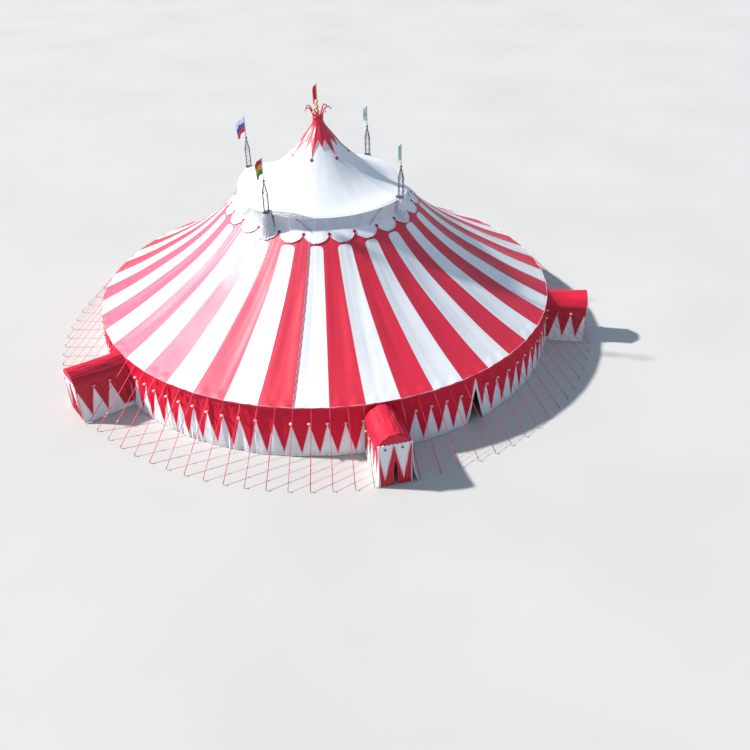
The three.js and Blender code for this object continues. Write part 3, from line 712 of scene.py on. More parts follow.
def sweep_recipe(flat):
    """Sweeps a round or a flat section along lines; "size" on a point scales the section."""
    recipe = Recipe("flat_sweep" if flat else "round_sweep", Width="Float", Thickness="Float",
                    Sides="Int")
    lines = recipe.node("GeometryNodeMeshToCurve", None, {"Mesh": recipe.source()})
    if flat:
        lines = recipe.node("GeometryNodeSetCurveNormal", {"mode": "Z_UP"}, {"Curve": lines})
        section = recipe.node(
            "GeometryNodeCurvePrimitiveQuadrilateral", {"mode": "RECTANGLE"},
            {"Width": recipe.source("Width"), "Height": recipe.source("Thickness")})
    else:
        half = recipe.node("ShaderNodeMath", {"operation": "MULTIPLY"},
                           {0: recipe.source("Width"), 1: 0.5})
        section = recipe.node(
            "GeometryNodeCurvePrimitiveCircle", {"mode": "RADIUS"},
            {"Resolution": recipe.source("Sides"), "Radius": half})
    swept = recipe.node("GeometryNodeCurveToMesh", None, {
        "Curve": lines, "Profile Curve": section, "Scale": recipe.attribute("size"),
        "Fill Caps": True})
    recipe.end(swept)
    return recipe


def lines_mesh(lines, scales, closed):
    """Lines of points as a mesh of edges, with the scale of the section at each point."""
    mesh = bpy.data.meshes.new("lines")
    edges = []
    start = 0
    for line in lines:
        ids = np.arange(start, start + len(line))
        edges.extend(np.stack([ids[:-1], ids[1:]], 1).tolist())
        if closed:
            edges.append([int(ids[-1]), int(ids[0])])
        start += len(line)
    mesh.from_pydata((np.vstack(lines) * SCALE).tolist(), edges, [])
    size = mesh.attributes.new("size", "FLOAT", "POINT")
    values = np.ones(start) if scales is None else np.concatenate(scales)
    size.data.foreach_set("value", values.astype(np.float32))
    return mesh


def tube(name, lines, width, material, scales=None, sides=6, closed=False):
    """Round ropes, bars or piping along lines, all in one piece."""
    mesh = lines_mesh(lines, scales, closed)
    return sweep_recipe(flat=False).run(
        name, mesh, Width=width * SCALE, Sides=sides, Finish=material)


def ribbon(name, lines, width, thickness, material, scales=None, closed=False):
    """Flat straps along lines, all in one piece, level across."""
    mesh = lines_mesh(lines, scales, closed)
    return sweep_recipe(flat=True).run(
        name, mesh, Width=width * SCALE, Thickness=thickness * SCALE, Finish=material)


def copies(name, pattern, places, turns, material, scale=1.0):
    """A pattern object set on points, each turned and scaled; the pattern is then removed."""
    recipe = Recipe("copies_on_points", Pattern="Object")
    shape = recipe.node("GeometryNodeObjectInfo", {"transform_space": "ORIGINAL"},
                        {"Object": recipe.source("Pattern")})
    turn = recipe.node("FunctionNodeEulerToRotation", None,
                       {"Euler": recipe.attribute("turn", "FLOAT_VECTOR")})
    placed = recipe.node("GeometryNodeInstanceOnPoints", None, {
        "Points": recipe.source(), "Instance": shape.node.outputs["Geometry"],
        "Rotation": turn, "Scale": recipe.attribute("size", "FLOAT_VECTOR")})
    recipe.end(placed)
    mesh = bpy.data.meshes.new("places")
    mesh.from_pydata((np.asarray(places) * SCALE).tolist(), [], [])
    for label, values in (("turn", turns), ("size", scale)):
        layer = mesh.attributes.new(label, "FLOAT_VECTOR", "POINT")
        each = np.broadcast_to(values, (len(places), 3)).astype(np.float32)
        layer.data.foreach_set("vector", each.ravel())
    made = recipe.run(name, mesh, Pattern=pattern, Finish=material)
    bpy.data.objects.remove(pattern)
    return made


def turned_pattern(name, profile, sides):
    """A turned body as an object, to be copied or joined."""
    piece = Piece()
    piece.add(*turned_body(profile, sides))
    return piece.make(name)


def outward(deg, tilt=0.0):
    """Turns that face outwards in each direction, tipped over by a tilt in degrees."""
    deg = np.asarray(deg, float)
    return np.stack([0 * deg, 0 * deg + math.radians(tilt), np.radians(deg)], 1)


def joined(name, pieces):
    """Several objects as one, which keeps each one's finish."""
    with bpy.context.temp_override(active_object=pieces[0], selected_editable_objects=pieces):
        bpy.ops.object.join()
    pieces[0].name = name
    return pieces[0]


def settle(piece, slot, *nodes):
    """Ties a finished piece to the model, to its finish and to the nodes that it stands for."""
    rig.ride(piece, "root")
    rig.slot(piece, slot)
    if nodes:
        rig.replaces(piece, *nodes)
    return piece


def colour_of(name):
    return tuple(getattr(bpy.context.scene.tent_colours, name))


def sizes():
    return bpy.context.scene.tent_sizes


FINISHES = {}


def finish_of(maker, *values):
    """The material that a maker gives, made once for each set of values."""
    key = (maker.__name__, *values)
    if key not in FINISHES:
        FINISHES[key] = maker(*values)
    return FINISHES[key]


def tooth(finish, across, height, half, tip, foot):
    """How far inside a white tooth a point is; half is half of the tooth's width at its foot."""
    rise = tip - foot
    return (tip - across * (rise / half) - height) * (half / math.hypot(half, rise))


def canopy_cloth():
    """Radial stripes with rounded tops and welded edges, four laced seams and weather streaks."""
    finish = Finish("canopy_cloth")
    turn, radius, _ = finish.about_axis()
    arc = radius * math.radians(1.0)
    edge = (HALF_FACET - finish.nearest(turn, STRIPE, 0.0)) * arc
    top = (radius - STRIPE_END_RADIUS) * 1.35
    past_edge = (STRIPE_ROUNDING - edge).most(0.0) ** 2.0
    past_top = (STRIPE_ROUNDING - top).most(0.0) ** 2.0
    inside = STRIPE_ROUNDING - (past_edge + past_top).root()
    white = finish.ramp(inside, -0.015, 0.015)
    streaks = finish.noise(finish.vector(turn * 0.7, radius * 0.12, 0.0), 1.0, 3.0)
    fine = finish.noise(finish.vector(turn * 6.0, radius * 0.25, 3.0), 1.0, 3.0)
    dirt = finish.ramp(streaks, 0.45, 0.75)
    red = finish.shade(dirt * 0.35, colour_of("red"), (0.78, 0.72, 0.8))
    red = finish.mix(finish.ramp(fine, 0.6, 0.85) * 0.06, red, (0.85, 0.16, 0.24))
    # Painted highlight: the red is lifted towards pink round direction 198°, where the sun's glare falls on the left
    # of the canopy.
    painted_glare = finish.band(finish.nearest(turn, 360.0, 198.0), 36.0, 22.0)
    red = finish.mix(painted_glare * 0.4, red, (0.85, 0.25, 0.42))
    pale = finish.shade(dirt * 0.3, colour_of("white"), (0.82, 0.85, 0.93))
    pale = finish.shade(finish.ramp(fine, 0.55, 0.8) * 0.3, pale, (0.88, 0.88, 0.9))
    colour = finish.worn(finish.mix(white, red, pale), 0.32, 0.22)
    # Painted shade: each weld line is darkened as the shadow of its overlap; the same band also gives the weld's
    # relief.
    weld = finish.band(inside, 0.03, 0.02)
    colour = finish.shade(weld * 0.55, colour, (0.6, 0.35, 0.42))
    seam = finish.nearest(turn, 90.0, SEAMS[0]) * arc
    flap = finish.band(seam - 0.11, 0.03, 0.015)
    colour = finish.shade(flap * 0.8, colour, (0.35, 0.1, 0.14))
    lap = finish.band(seam, 0.1, 0.01)
    colour = finish.mix(lap * 0.85, colour, (0.62, 0.13, 0.2))
    height = streaks * 0.35 + fine * 0.05 + finish.weave() * 0.15 + weld * 0.12
    rough = 0.38 + finish.spots(0.8, 4.0) * 0.16
    return finish.done(colour, rough, height, 0.035, Specular_IOR_Level=0.8)


def wall_cloth():
    """White teeth that stand on a white hem, with a pale border; the doorway has its own border."""
    finish = Finish("wall_cloth")
    turn, radius, height = finish.about_axis()
    arc = radius * math.radians(1.0)
    across = finish.nearest(turn, TOOTH, TOOTH_SHIFT) * arc
    half = math.radians(TOOTH / 2) * WALL_FOOT_RADIUS
    inside = tooth(finish, across, height, half, TOOTH_TIP, TOOTH_FOOT)
    teeth, border = finish.edges(inside)
    hem = 1.0 - finish.ramp(height, 0.24, 0.27)
    red, white, drips = wall_shades(finish, turn, height)
    colour = finish.mix(teeth.most(hem), red, white)
    colour = finish.mix(border * (1.0 - hem) * 0.8, colour, colour_of("cream"))
    aside = abs(turn + 360.0 - DOOR) * arc
    door = (DOOR_HIGH - height) * (DOOR_HALF / DOOR_HIGH) - aside
    jamb = finish.band(door + 0.11, 0.11, 0.01)
    colour = finish.mix(jamb, colour, white)
    colour = finish.mix(finish.band(door + 0.13, 0.035, 0.01), colour, colour_of("cream"))
    hem_line = finish.band(height - 0.26, 0.02, 0.01)
    colour = finish.shade(hem_line * 0.6, colour, (0.7, 0.35, 0.4))
    height_map = drips * 0.7 + finish.weave() * 0.4 + border * 0.12
    rough = 0.5 + finish.spots(1.1, 4.0) * 0.2
    return finish.done(colour, rough, height_map, 0.03, Specular_IOR_Level=0.2)


def wall_shades(finish, turn, height):
    """Red and white of the side wall, rain-marked and muddy near the ground, and the rain marks."""
    drips = finish.noise(finish.vector(turn * 4.0, height * 0.5, 0.0), 1.0, 4.0, 0.6)
    marks = finish.ramp(drips, 0.5, 0.8) * 0.4
    mud = finish.ramp(finish.spots(2.5, 4.0), 0.35, 0.7)
    splash = (1.0 - finish.ramp(height, 0.0, 0.9)) * mud
    red = finish.worn(finish.shade(marks, colour_of("red"), (0.72, 0.68, 0.75)))
    white = finish.worn(finish.shade(marks, colour_of("white"), (0.85, 0.86, 0.92)))
    red = finish.mix(splash * 0.3, red, (0.42, 0.2, 0.17))
    white = finish.mix(splash * 0.4, white, (0.62, 0.56, 0.5))
    return red, white, drips


def petal_cloth():
    """White petals with a stitched hem a little way in from their edge."""
    finish = Finish("petal_cloth")
    across, inward, _ = finish.marks()
    colour = finish.worn(colour_of("white"), 0.4, 0.6)
    hem = finish.band(inward - 0.09, 0.02, 0.012)
    colour = finish.shade(hem * 0.5, colour, (0.8, 0.72, 0.76))
    fold = finish.noise(finish.vector(across * 3.0, inward * 0.7, 0.0), 1.4, 3.0)
    height = finish.weave() * 0.3 + fold * 0.6 - hem * 0.3
    return finish.done(colour, 0.42 + fold * 0.16, height, 0.03)


def cupola_cloth():
    """White membrane of welded gores, with a hem line near its edge."""
    finish = Finish("cupola_cloth")
    turn, radius, _ = finish.about_axis()
    arc = radius * math.radians(1.0)
    weld = finish.band(finish.nearest(turn, STRIPE, 0.0) * arc, 0.025, 0.02)
    streaks = finish.noise(finish.vector(turn * 0.2, radius * 0.25, 0.0), 1.0, 3.0)
    rain = finish.ramp(streaks, 0.45, 0.8) * 0.25
    colour = finish.shade(rain, colour_of("white"), (0.86, 0.88, 0.93))
    colour = finish.worn(colour, 0.3, 0.4)
    colour = finish.shade(weld * 0.35, colour, (0.8, 0.8, 0.86))
    _, edge, _ = finish.marks()
    hem = finish.band(edge - 0.16, 0.02, 0.012)
    colour = finish.shade(hem * 0.5, colour, (0.7, 0.68, 0.75))
    height = streaks * 0.07 + finish.weave() * 0.12 + weld * 0.05 - hem * 0.2
    rough = 0.38 + finish.spots(1.2, 4.0) * 0.18
    return finish.done(colour, rough, height, 0.03)


def mesh_band_cloth():
    """Grey net panels of the ventilation band with a pale edge tape and vertical seams."""
    finish = Finish("mesh_band_cloth")
    along, up, _ = finish.marks()
    holes = (along * 160.0).sine() * (up * 160.0).sine()
    net = finish.ramp(holes, -0.2, 0.6)
    colour = finish.worn(colour_of("grey"), 0.6, 0.8)
    colour = finish.shade(net * 0.25, colour, (0.6, 0.62, 0.68))
    tape = 1.0 - finish.ramp(up, 0.05, 0.07)
    seam = finish.band(finish.nearest(along, 1.06, 0.0), 0.03, 0.01)
    colour = finish.mix(tape.most(seam) * 0.8, colour, (0.8, 0.82, 0.87))
    height = holes * 0.15 + finish.noise(finish.vector(along * 2.0, up * 0.7, 0.0), 2.0, 3.0)
    return finish.done(colour, 0.6 + net * 0.2, height, 0.02)


def star_cap_cloth():
    """Glossy red vinyl with a paler hem line along its points."""
    finish = Finish("star_cap_cloth")
    turn, radius, _ = finish.about_axis()
    _, edge, _ = finish.marks()
    ripple = finish.noise(finish.vector(turn * 0.04, radius * 0.4, 0.0), 3.0, 2.0)
    colour = finish.worn(colour_of("red"), 0.35, 1.0)
    hem = finish.band(edge - 0.1, 0.02, 0.012)
    colour = finish.mix(hem * 0.5, colour, (0.75, 0.2, 0.27))
    height = ripple * 0.5 + hem * 0.05
    coat = {"Coat_Weight": sizes().cap_gloss, "Coat_Roughness": 0.3}
    return finish.done(colour, 0.32 + ripple * 0.12, height, 0.03, **coat)


def boot_cloth(pale_from):
    """Gathered boot: an open net up to pale_from over the canopy, plain white cloth above it."""
    finish = Finish(f"boot_cloth_{round(pale_from * 100)}")
    across, up, _ = finish.marks()
    holes = (across * 130.0).sine() * (up * 130.0).sine()
    net = finish.ramp(holes, -0.1, 0.7)
    gather = finish.noise(finish.vector(across * 5.0, up * 0.7, 0.0), 2.2, 3.0)
    mesh = finish.shade(net * 0.4, colour_of("grey"), (0.5, 0.49, 0.5))
    mesh = finish.shade(finish.ramp(gather, 0.4, 0.7) * 0.45, mesh, (0.6, 0.6, 0.62))
    plain = finish.worn(colour_of("white"), 0.5, 0.7)
    above = finish.ramp(up, pale_from - 0.03, pale_from + 0.03)
    colour = finish.mix(above, mesh, plain)
    return finish.done(colour, 0.7 - above * 0.2, gather * 0.8 + holes * 0.1, 0.03)


def jamb_cloth():
    """Plain white cloth with weather, weave and creases."""
    finish = Finish("jamb_cloth")
    colour = finish.worn(colour_of("white"), 0.55, 0.7)
    crumple = finish.spots(1.6, 4.0, 0.55, 0.6)
    height = finish.weave() * 0.35 + crumple * 0.65
    return finish.done(colour, 0.42 + crumple * 0.16, height, 0.04)


def piping_cloth():
    """Pale piping with a slow change of tint, as the sun and rain leave it."""
    finish = Finish("piping_cloth")
    tint = finish.ramp(finish.spots(0.9, 3.0), 0.35, 0.7)
    colour = finish.mix(tint, (0.78, 0.42, 0.5), (0.86, 0.7, 0.75))
    return finish.done(colour, 0.45 + tint * 0.15, finish.weave(), 0.01)


def twisted(name, light, dark):
    """Laid rope: slanted strands with dark lines between them."""
    finish = Finish(name)
    x, y, z = finish.parts(finish.here)
    strands = ((x + y * 0.7 + z * 1.3) * 45.0).sine()
    gaps = finish.ramp(strands, -0.4, 0.5)
    fuzz = finish.spots(25.0, 3.0)
    colour = finish.mix(gaps * 0.75 + fuzz * 0.2, dark, light)
    return finish.done(colour, 0.7 + fuzz * 0.2, strands, 0.008)


def rope_fibre():
    return twisted("rope_fibre", (0.7, 0.42, 0.47), (0.35, 0.1, 0.14))


def hem_rope():
    return twisted("hem_rope", (0.82, 0.84, 0.9), (0.55, 0.56, 0.63))


def dark_rope():
    return twisted("dark_rope", (0.16, 0.17, 0.21), (0.05, 0.05, 0.07))


def painted(name, colour, rough, metal, wear, amount=0.35, coat=0.0):
    """Paint or plating with scuffs, grime and brushed unevenness."""
    finish = Finish(name)
    scuffs = finish.ramp(finish.spots(7.0, 5.0, 0.65), 0.58, 0.75)
    grime = finish.ramp(finish.spots(1.3, 4.0), 0.45, 0.75)
    base = finish.shade(grime * amount, colour, (0.7, 0.7, 0.72))
    base = finish.mix(scuffs * amount, base, wear)
    even = finish.spots(18.0, 4.0, 0.6)
    relief = even + scuffs * 0.4
    rough = rough + even * 0.14 + scuffs * 0.12
    return finish.done(base, rough, relief, 0.006, Metallic=metal, Coat_Weight=coat)


def steel_paint():
    return painted("galvanised", colour_of("steel"), 0.38, 0.75, (0.2, 0.19, 0.19))


def mast_steel():
    return painted("mast_steel", (0.15, 0.16, 0.19), 0.5, 0.35, (0.08, 0.07, 0.07))


def gold_paint():
    return painted("gold_paint", colour_of("gold"), 0.25, 0.8, (0.3, 0.17, 0.05), 0.3, 0.4)


def white_paint():
    return painted("white_paint", colour_of("white"), 0.35, 0.0, (0.45, 0.43, 0.42), 0.3, 0.2)


def navy_paint():
    return painted("navy_vinyl", colour_of("navy"), 0.3, 0.0, (0.08, 0.1, 0.22), 0.4, 0.3)


def dot_rim_paint():
    return painted("dot_rim_vinyl", colour_of("red"), 0.35, 0.0, (0.7, 0.2, 0.25), 0.3, 0.2)


def crown_vinyl():
    return painted("crown_vinyl", colour_of("red"), 0.35, 0.0, (0.5, 0.12, 0.2), 0.5, 0.2)


def crown_ball_paint():
    return painted("crown_ball_paint", (0.72, 0.6, 0.68), 0.3, 0.0, (0.4, 0.2, 0.28), 0.4, 0.3)


def ball_foam():
    """Pinkish-white balls with painted shade underneath, reddened as though lit from the red wall."""
    finish = Finish("ball_foam")
    _, _, height = finish.parts(finish.here)
    # Painted shade: the lower part of each ball is mixed towards a dark red.
    low = 1.0 - finish.ramp(height, TOOTH_TIP, 3.2)
    mottle = finish.spots(6.0, 4.0)
    colour = finish.mix(low * 0.65 + mottle * 0.25, (1.0, 0.66, 0.54), (0.72, 0.2, 0.2))
    return finish.done(colour, 0.4 + mottle * 0.2, mottle, 0.01)


def strap_webbing():
    """Red webbing, ribbed across, faded by the sun and dirty near the ground."""
    finish = Finish("strap_webbing")
    _, radius, height = finish.about_axis()
    ribs = (radius * 90.0).sine()
    fade = finish.ramp(finish.spots(0.7, 3.0), 0.4, 0.7)
    colour = finish.mix(fade * 0.4, (0.62, 0.02, 0.06), (0.8, 0.25, 0.32))
    splash = (1.0 - finish.ramp(height, 0.2, 1.0)) * 0.5
    colour = finish.shade(splash, colour, (0.6, 0.5, 0.46))
    relief = ribs * 0.5 + finish.weave()
    return finish.done(colour, 0.6 + fade * 0.15, relief, 0.006)


CANOPY_LINE = smooth_line(CANOPY)
CUPOLA_LINE = smooth_line(CUPOLA)


def ridge_share(deg):
    """0 on a ridge between two stripes, 1 in the middle of a stripe."""
    return np.cos(np.pi * from_nearest(deg, FACET, 0.0) / FACET) ** 2


def flat_sided(deg):
    """Factor that draws a radius in between two ridges, where the cloth runs nearly flat."""
    inward = np.radians(from_nearest(deg, FACET, 0.0))
    return 1 - FLATNESS * (1 - math.cos(math.radians(HALF_FACET)) / np.cos(inward))


def from_strap(deg):
    """Angle from the nearest guy strap, with its sign."""
    return (deg + HALF_FACET / 2) % HALF_FACET - HALF_FACET / 2


def on_canopy(deg, radius, lift=0.0):
    """Points on the canopy: flat-sided in plan, sagged between ridges, scalloped at the eave."""
    deg, radius = np.broadcast_arrays(np.asarray(deg, float), np.asarray(radius, float))
    height = height_on(CANOPY_LINE, radius)
    middle = soft_step(radius, 9.5, 14.0) * (1 - 0.6 * soft_step(radius, 17.0, EAVE_RADIUS))
    sag = sizes().canopy_sag * ridge_share(deg) * middle
    between = np.sin(np.pi * deg / HALF_FACET) ** 2
    rise = sizes().eave_scallop * between * soft_step(radius, 20.2, EAVE_RADIUS)
    return polar(deg, radius * flat_sided(deg), height - sag + rise + lift)


def creases(deg, radius):
    """Creases that fan from each strap over the eave, and ripples over the cloth."""
    inward = EAVE_RADIUS - radius
    fan = np.arctan2(np.radians(from_strap(deg)) * radius, inward + 0.25)
    near = np.exp(-inward / 1.3)
    pulls = 0.014 * near * np.cos(9 * fan + waves(deg, radius, 5, slow=0.1, fast=0.3))
    ripple = 0.008 * waves(deg * 0.7, radius * 0.22, 7, count=7)
    streak = 0.003 * waves(deg * 1.8, radius * 0.1, 11, count=6)
    return pulls + ripple + streak


def clear_of_masts(grid, gap):
    """Which quads of a grid stay clear of the four masts in plan."""
    middle = (grid[1:, 1:] + grid[:-1, :-1]) / 2
    keep = np.ones(middle.shape[:2], bool)
    for deg in CORNERS.values():
        centre = polar(deg, MAST_CIRCLE, 0.0)
        keep &= np.hypot(middle[..., 0] - centre[0], middle[..., 1] - centre[1]) > gap
    return keep


def sheet_piece(name, sheets, skin, material, keep=None, closed=False):
    """One object made of sheets, each given as its grid and what the points carry."""
    piece = Piece()
    for grid, cloth in sheets:
        piece.sheet(grid, skin, cloth, keep, closed)
    return piece.make(name, material)


def wrapped(grid):
    """A grid whose first column follows its last."""
    return np.concatenate([grid, grid[:, :1]], 1)


def make_canopy():
    """Four laced sections of the canopy."""
    reach = EAVE_RADIUS - CANOPY_INNER
    inward = np.concatenate([np.linspace(0, 2.4, 25), np.linspace(2.55, reach, 76)])
    radius = (EAVE_RADIUS - inward)[:, None]
    for i in range(4):
        start = SEAMS[0] + 90 * i
        deg = np.linspace(start + SEAM_GAP, start + 90 - SEAM_GAP, 145)[None]
        grid = on_canopy(deg, radius, creases(deg, radius))
        name = f"canopy_section_{i + 1}"
        made = sheet_piece(name + "_cloth", [(grid, None)], sizes().skin, finish_of(canopy_cloth),
                           keep=clear_of_masts(grid, CANOPY_GAP))
        settle(made, "red_cloth", name)
        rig.sheet(made, held="stretched", rests_on=["side_poles_1", "mast_boot_front_left"],
                 **cut_of(grid))


def make_eave_piping():
    """A pale piping round the eave."""
    deg = np.arange(0, 360, 0.625)
    edge = on_canopy(deg, EAVE_RADIUS, creases(deg, EAVE_RADIUS))
    made = tube("eave_piping", [edge], 0.04, finish_of(piping_cloth), closed=True)
    settle(made, "white_cloth")


def make_laced_seams():
    """Zigzag ropes through eyelets that lace the four sections together."""
    radius = np.arange(9.0, 20.9, 0.34)
    side = np.where(np.arange(len(radius)) % 2, 1, -1)
    fall = height_on(CANOPY_LINE, radius - 0.1) - height_on(CANOPY_LINE, radius)
    slope = np.arctan2(fall, 0.1)
    ropes = []
    eyelets = []
    turns = []
    for seam in SEAMS:
        deg = seam + np.degrees(0.075 * side / radius)
        ropes.append(on_canopy(deg, radius, 0.03))
        eyelets.append(on_canopy(deg, radius, 0.025))
        turns.extend(zip(0 * radius, slope, np.radians(deg)))
    rope = tube("lacing_ropes", ropes, sizes().rope_width, finish_of(rope_fibre), sides=5)
    made = copies("lacing_eyelets", ring_pattern("eyelet_pattern", 0.03), np.vstack(eyelets),
                  turns, finish_of(steel_paint))
    settle(rope, "white_cloth")
    settle(made, "galvanised_steel")


def ring_pattern(name, radius):
    """A small ring of wire that lies level about the origin."""
    wire = 0.012
    sides = 8
    around = 4
    turn = np.radians(np.arange(around) * 360 / around)
    outline = np.stack([radius + wire * np.cos(turn), wire * np.sin(turn)], 1)
    points = polar(np.arange(sides)[None] * 360 / sides, outline[:, :1], outline[:, 1:])
    piece = Piece()
    piece.add(points.reshape(-1, 3), grid_faces(around + 1, sides, True) % (around * sides))
    return piece.make(name)


def petal_edge(deg):
    """Radius of the collar's scalloped edge."""
    turn = (deg - FRONT - FACET) * PETALS / 360
    swing = np.sqrt(np.abs(np.sin(np.pi * turn)))
    return PETAL_NOTCH + (PETAL_TIP - PETAL_NOTCH) * swing


def petal_columns():
    """Directions round the collar, closer together near the notches."""
    share = (1 - np.cos(np.linspace(0, np.pi, 21)[:-1])) / 2
    return (FRONT + FACET + (np.arange(PETALS)[:, None] + share) * 360 / PETALS).ravel()


def on_collar(deg, radius, lift):
    """Points on the collar, which stands a little off the canopy and lifts near its edge."""
    share = soft_step(radius, BAND_FOOT_RADIUS, PETAL_TIP)
    billow = 0.02 * waves(deg * 0.5, radius * 2.0, 17)
    return on_canopy(deg, radius, 0.05 + 0.03 * share + billow * share + lift)


def make_collar():
    """Scalloped collar with piped edges and a dot in each notch and on each petal."""
    deg = petal_columns()[None]
    edge = petal_edge(deg)
    inner = BAND_FOOT_RADIUS - 0.02
    radius = inner + (edge - inner) * np.linspace(1, 0, 11)[:, None]
    grid = on_collar(deg, radius, 0.0)
    cloth = stacked(np.radians(deg - FRONT) * radius, (edge - radius) * 1.35, 0 * radius)
    wide = wrapped(grid)
    made = sheet_piece("petal_collar_cloth", [(grid, cloth)], 0.02, finish_of(petal_cloth),
                       keep=clear_of_masts(wide, COLLAR_GAP), closed=True)
    settle(made, "white_cloth", "petal_collar")
    cut = cut_of(wide)
    cut["flat"] = (2 * math.pi * PETAL_TIP * SCALE, cut["flat"][1])
    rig.sheet(made, held="laid", rests_on=["canopy_section_1_cloth"], **cut)
    line = on_collar(deg[0], edge[0], 0.012)
    piping = tube("petal_piping", [line], 0.035, finish_of(piping_cloth), closed=True)
    settle(piping, "white_cloth")
    make_dots()


def make_dots():
    """Domed dots: large ones on red discs in the notches, small bare ones on the petals."""
    notch = FRONT + FACET + np.arange(PETALS) * 360 / PETALS
    deg = np.concatenate([notch, notch + 180 / PETALS])
    radius = np.repeat([PETAL_NOTCH + 0.1, PETAL_TIP + 0.01], PETALS)
    size = np.repeat([1.0, 0.5], PETALS)
    places = on_collar(deg, radius, 0.03)
    turns = outward(deg, 42)
    clear = np.full(2 * PETALS, True)
    for corner in CORNERS.values():
        aside = places - polar(corner, MAST_CIRCLE, 0.0)
        clear &= np.hypot(aside[:, 0], aside[:, 1]) > DOT_GAP
    large = clear & (size == 1.0)
    half = sizes().dot_width / 2
    disc = turned_pattern("rim_pattern", ((half, -0.01), (half, 0.012), (half * 0.9, 0.022)), 14)
    dome = turned_pattern(
        "dome_pattern", ((half * 0.7, 0.0), (half * 0.66, 0.035), (half * 0.4, 0.055)), 12)
    rims = copies("dot_rims", disc, places[large], turns[large], finish_of(dot_rim_paint))
    domes = copies("dot_domes", dome, places[clear], turns[clear], finish_of(navy_paint),
                   size[clear][:, None])
    settle(rims, "red_cloth")
    settle(domes, "white_cloth")


def pulled(points, weight):
    """Points drawn out and up where the masts hold the cupola."""
    radius = np.hypot(points[..., 0], points[..., 1])
    corner = np.sin(2 * np.arctan2(points[..., 1], points[..., 0])) ** 2
    pull = corner * weight
    factor = (radius + CORNER_REACH * pull) / radius
    lifted = points[..., 2] + CORNER_LIFT * pull
    return np.stack([points[..., 0] * factor, points[..., 1] * factor, lifted], -1)


def on_cupola(deg, radius, lift=0.0):
    """Points on the cupola membrane, with shallow ridges along its welds."""
    deg, radius = np.broadcast_arrays(np.asarray(deg, float), np.asarray(radius, float))
    weight = np.clip((radius - PULL_START) / PULL_SPAN, 0, 1) ** 2
    gore = np.cos(np.pi * from_nearest(deg, STRIPE, 0.0) / STRIPE) ** 2
    slack = 0.007 * (1 - gore) * soft_step(radius, 0.8, 3.0)
    ripple = 0.012 * waves(deg * 0.07, radius * 0.5, 23) * soft_step(radius, 1.0, 4.0)
    aside = np.radians(from_nearest(deg, 90.0, 45.0)) * radius
    ridge = 0.13 * np.exp(-np.abs(aside) / 1.1) * soft_step(radius, 1.0, 4.0)
    height = height_on(CUPOLA_LINE, radius) + ridge - slack + ripple + lift
    return pulled(polar(deg, radius, height), weight)


def make_cupola():
    """The white membrane under the cap, with a rope in its hem."""
    deg = np.arange(0, 360, 0.9375)[None]
    radius = np.concatenate([np.linspace(CUPOLA_EDGE, 6.6, 9), np.linspace(6.45, 0.7, 44),
                             np.linspace(0.64, 0.405, 9)])[:, None]
    grid = on_cupola(deg, radius)
    grid[-1, :, 2] = CUPOLA_NECK_TOP
    wide = wrapped(grid)
    cloth = stacked(0 * deg, CUPOLA_EDGE - radius, 0 * deg)
    made = sheet_piece("cupola_membrane", [(grid, cloth)], sizes().skin * 1.5,
                       finish_of(cupola_cloth), keep=clear_of_masts(wide, CUPOLA_GAP), closed=True)
    settle(made, "white_cloth", "cupola")
    half = deg.size // 2
    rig.sheet(made, held="stretched", rests_on=["king_pole"],
             **cut_of(wide[:, :half + 1], wide[:, half:]))
    runs = [np.linspace(start + 3.6, start + 86.4, 90) for start in (45, 135, 225, 315)]
    lines = [on_cupola(run, CUPOLA_EDGE, -0.02) for run in runs]
    settle(tube("cupola_hem", lines, 0.075, finish_of(hem_rope)), "white_cloth")


def on_band(deg, rise):
    """Points on the ventilation band, from its foot on the canopy up to the cupola."""
    foot = height_on(CANOPY_LINE, BAND_FOOT_RADIUS) + 0.02
    top = height_on(CUPOLA_LINE, BAND_TOP_RADIUS) - 0.06
    radius = BAND_FOOT_RADIUS + (BAND_TOP_RADIUS - BAND_FOOT_RADIUS) * rise
    pleats = 0.01 * np.sin(deg * 3.9 + waves(deg, rise, 29)) * np.sin(np.pi * np.clip(rise, 0, 1))
    sag = -0.08 * np.sin(np.pi * rise) * (1 - ridge_share(deg) * 0.3)
    return pulled(polar(deg, radius + pleats + sag, foot + (top - foot) * rise), rise)


def make_band():
    """Net panels between the canopy and the cupola, and the stays that cross them."""
    rise = np.linspace(0, 1, 13)[:, None]
    stay_rise = np.linspace(-0.02, 1.0, 9)
    stays = []
    for side, middle in {"right": 0, "rear": 90, "left": 180, "front": 270}.items():
        deg = np.linspace(middle - 44.97, middle + 44.97, 181)[None]
        grid = on_band(deg, rise)
        cloth = stacked(np.radians(deg - middle) * 7.7, rise * 1.1, 0 * deg)
        name = f"ventilation_band_{side}"
        made = sheet_piece(name + "_net", [(grid, cloth)], sizes().skin, finish_of(mesh_band_cloth),
                           keep=clear_of_masts(grid, BAND_GAP))
        settle(made, "grey_cloth", name)
        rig.sheet(made, held="hung", rests_on=["cupola_membrane"], **cut_of(grid))
        for offset, swing in ((-22.5, -4.7), (23.0, 4.7)):
            line = on_band(middle + offset + swing * (stay_rise - 0.5) * 2, stay_rise)
            stays.append(line * np.array([1.012, 1.012, 1.0]))
    ropes = tube("band_stays", stays, 0.04, finish_of(dark_rope), sides=5)
    settle(ropes, "grey_cloth")


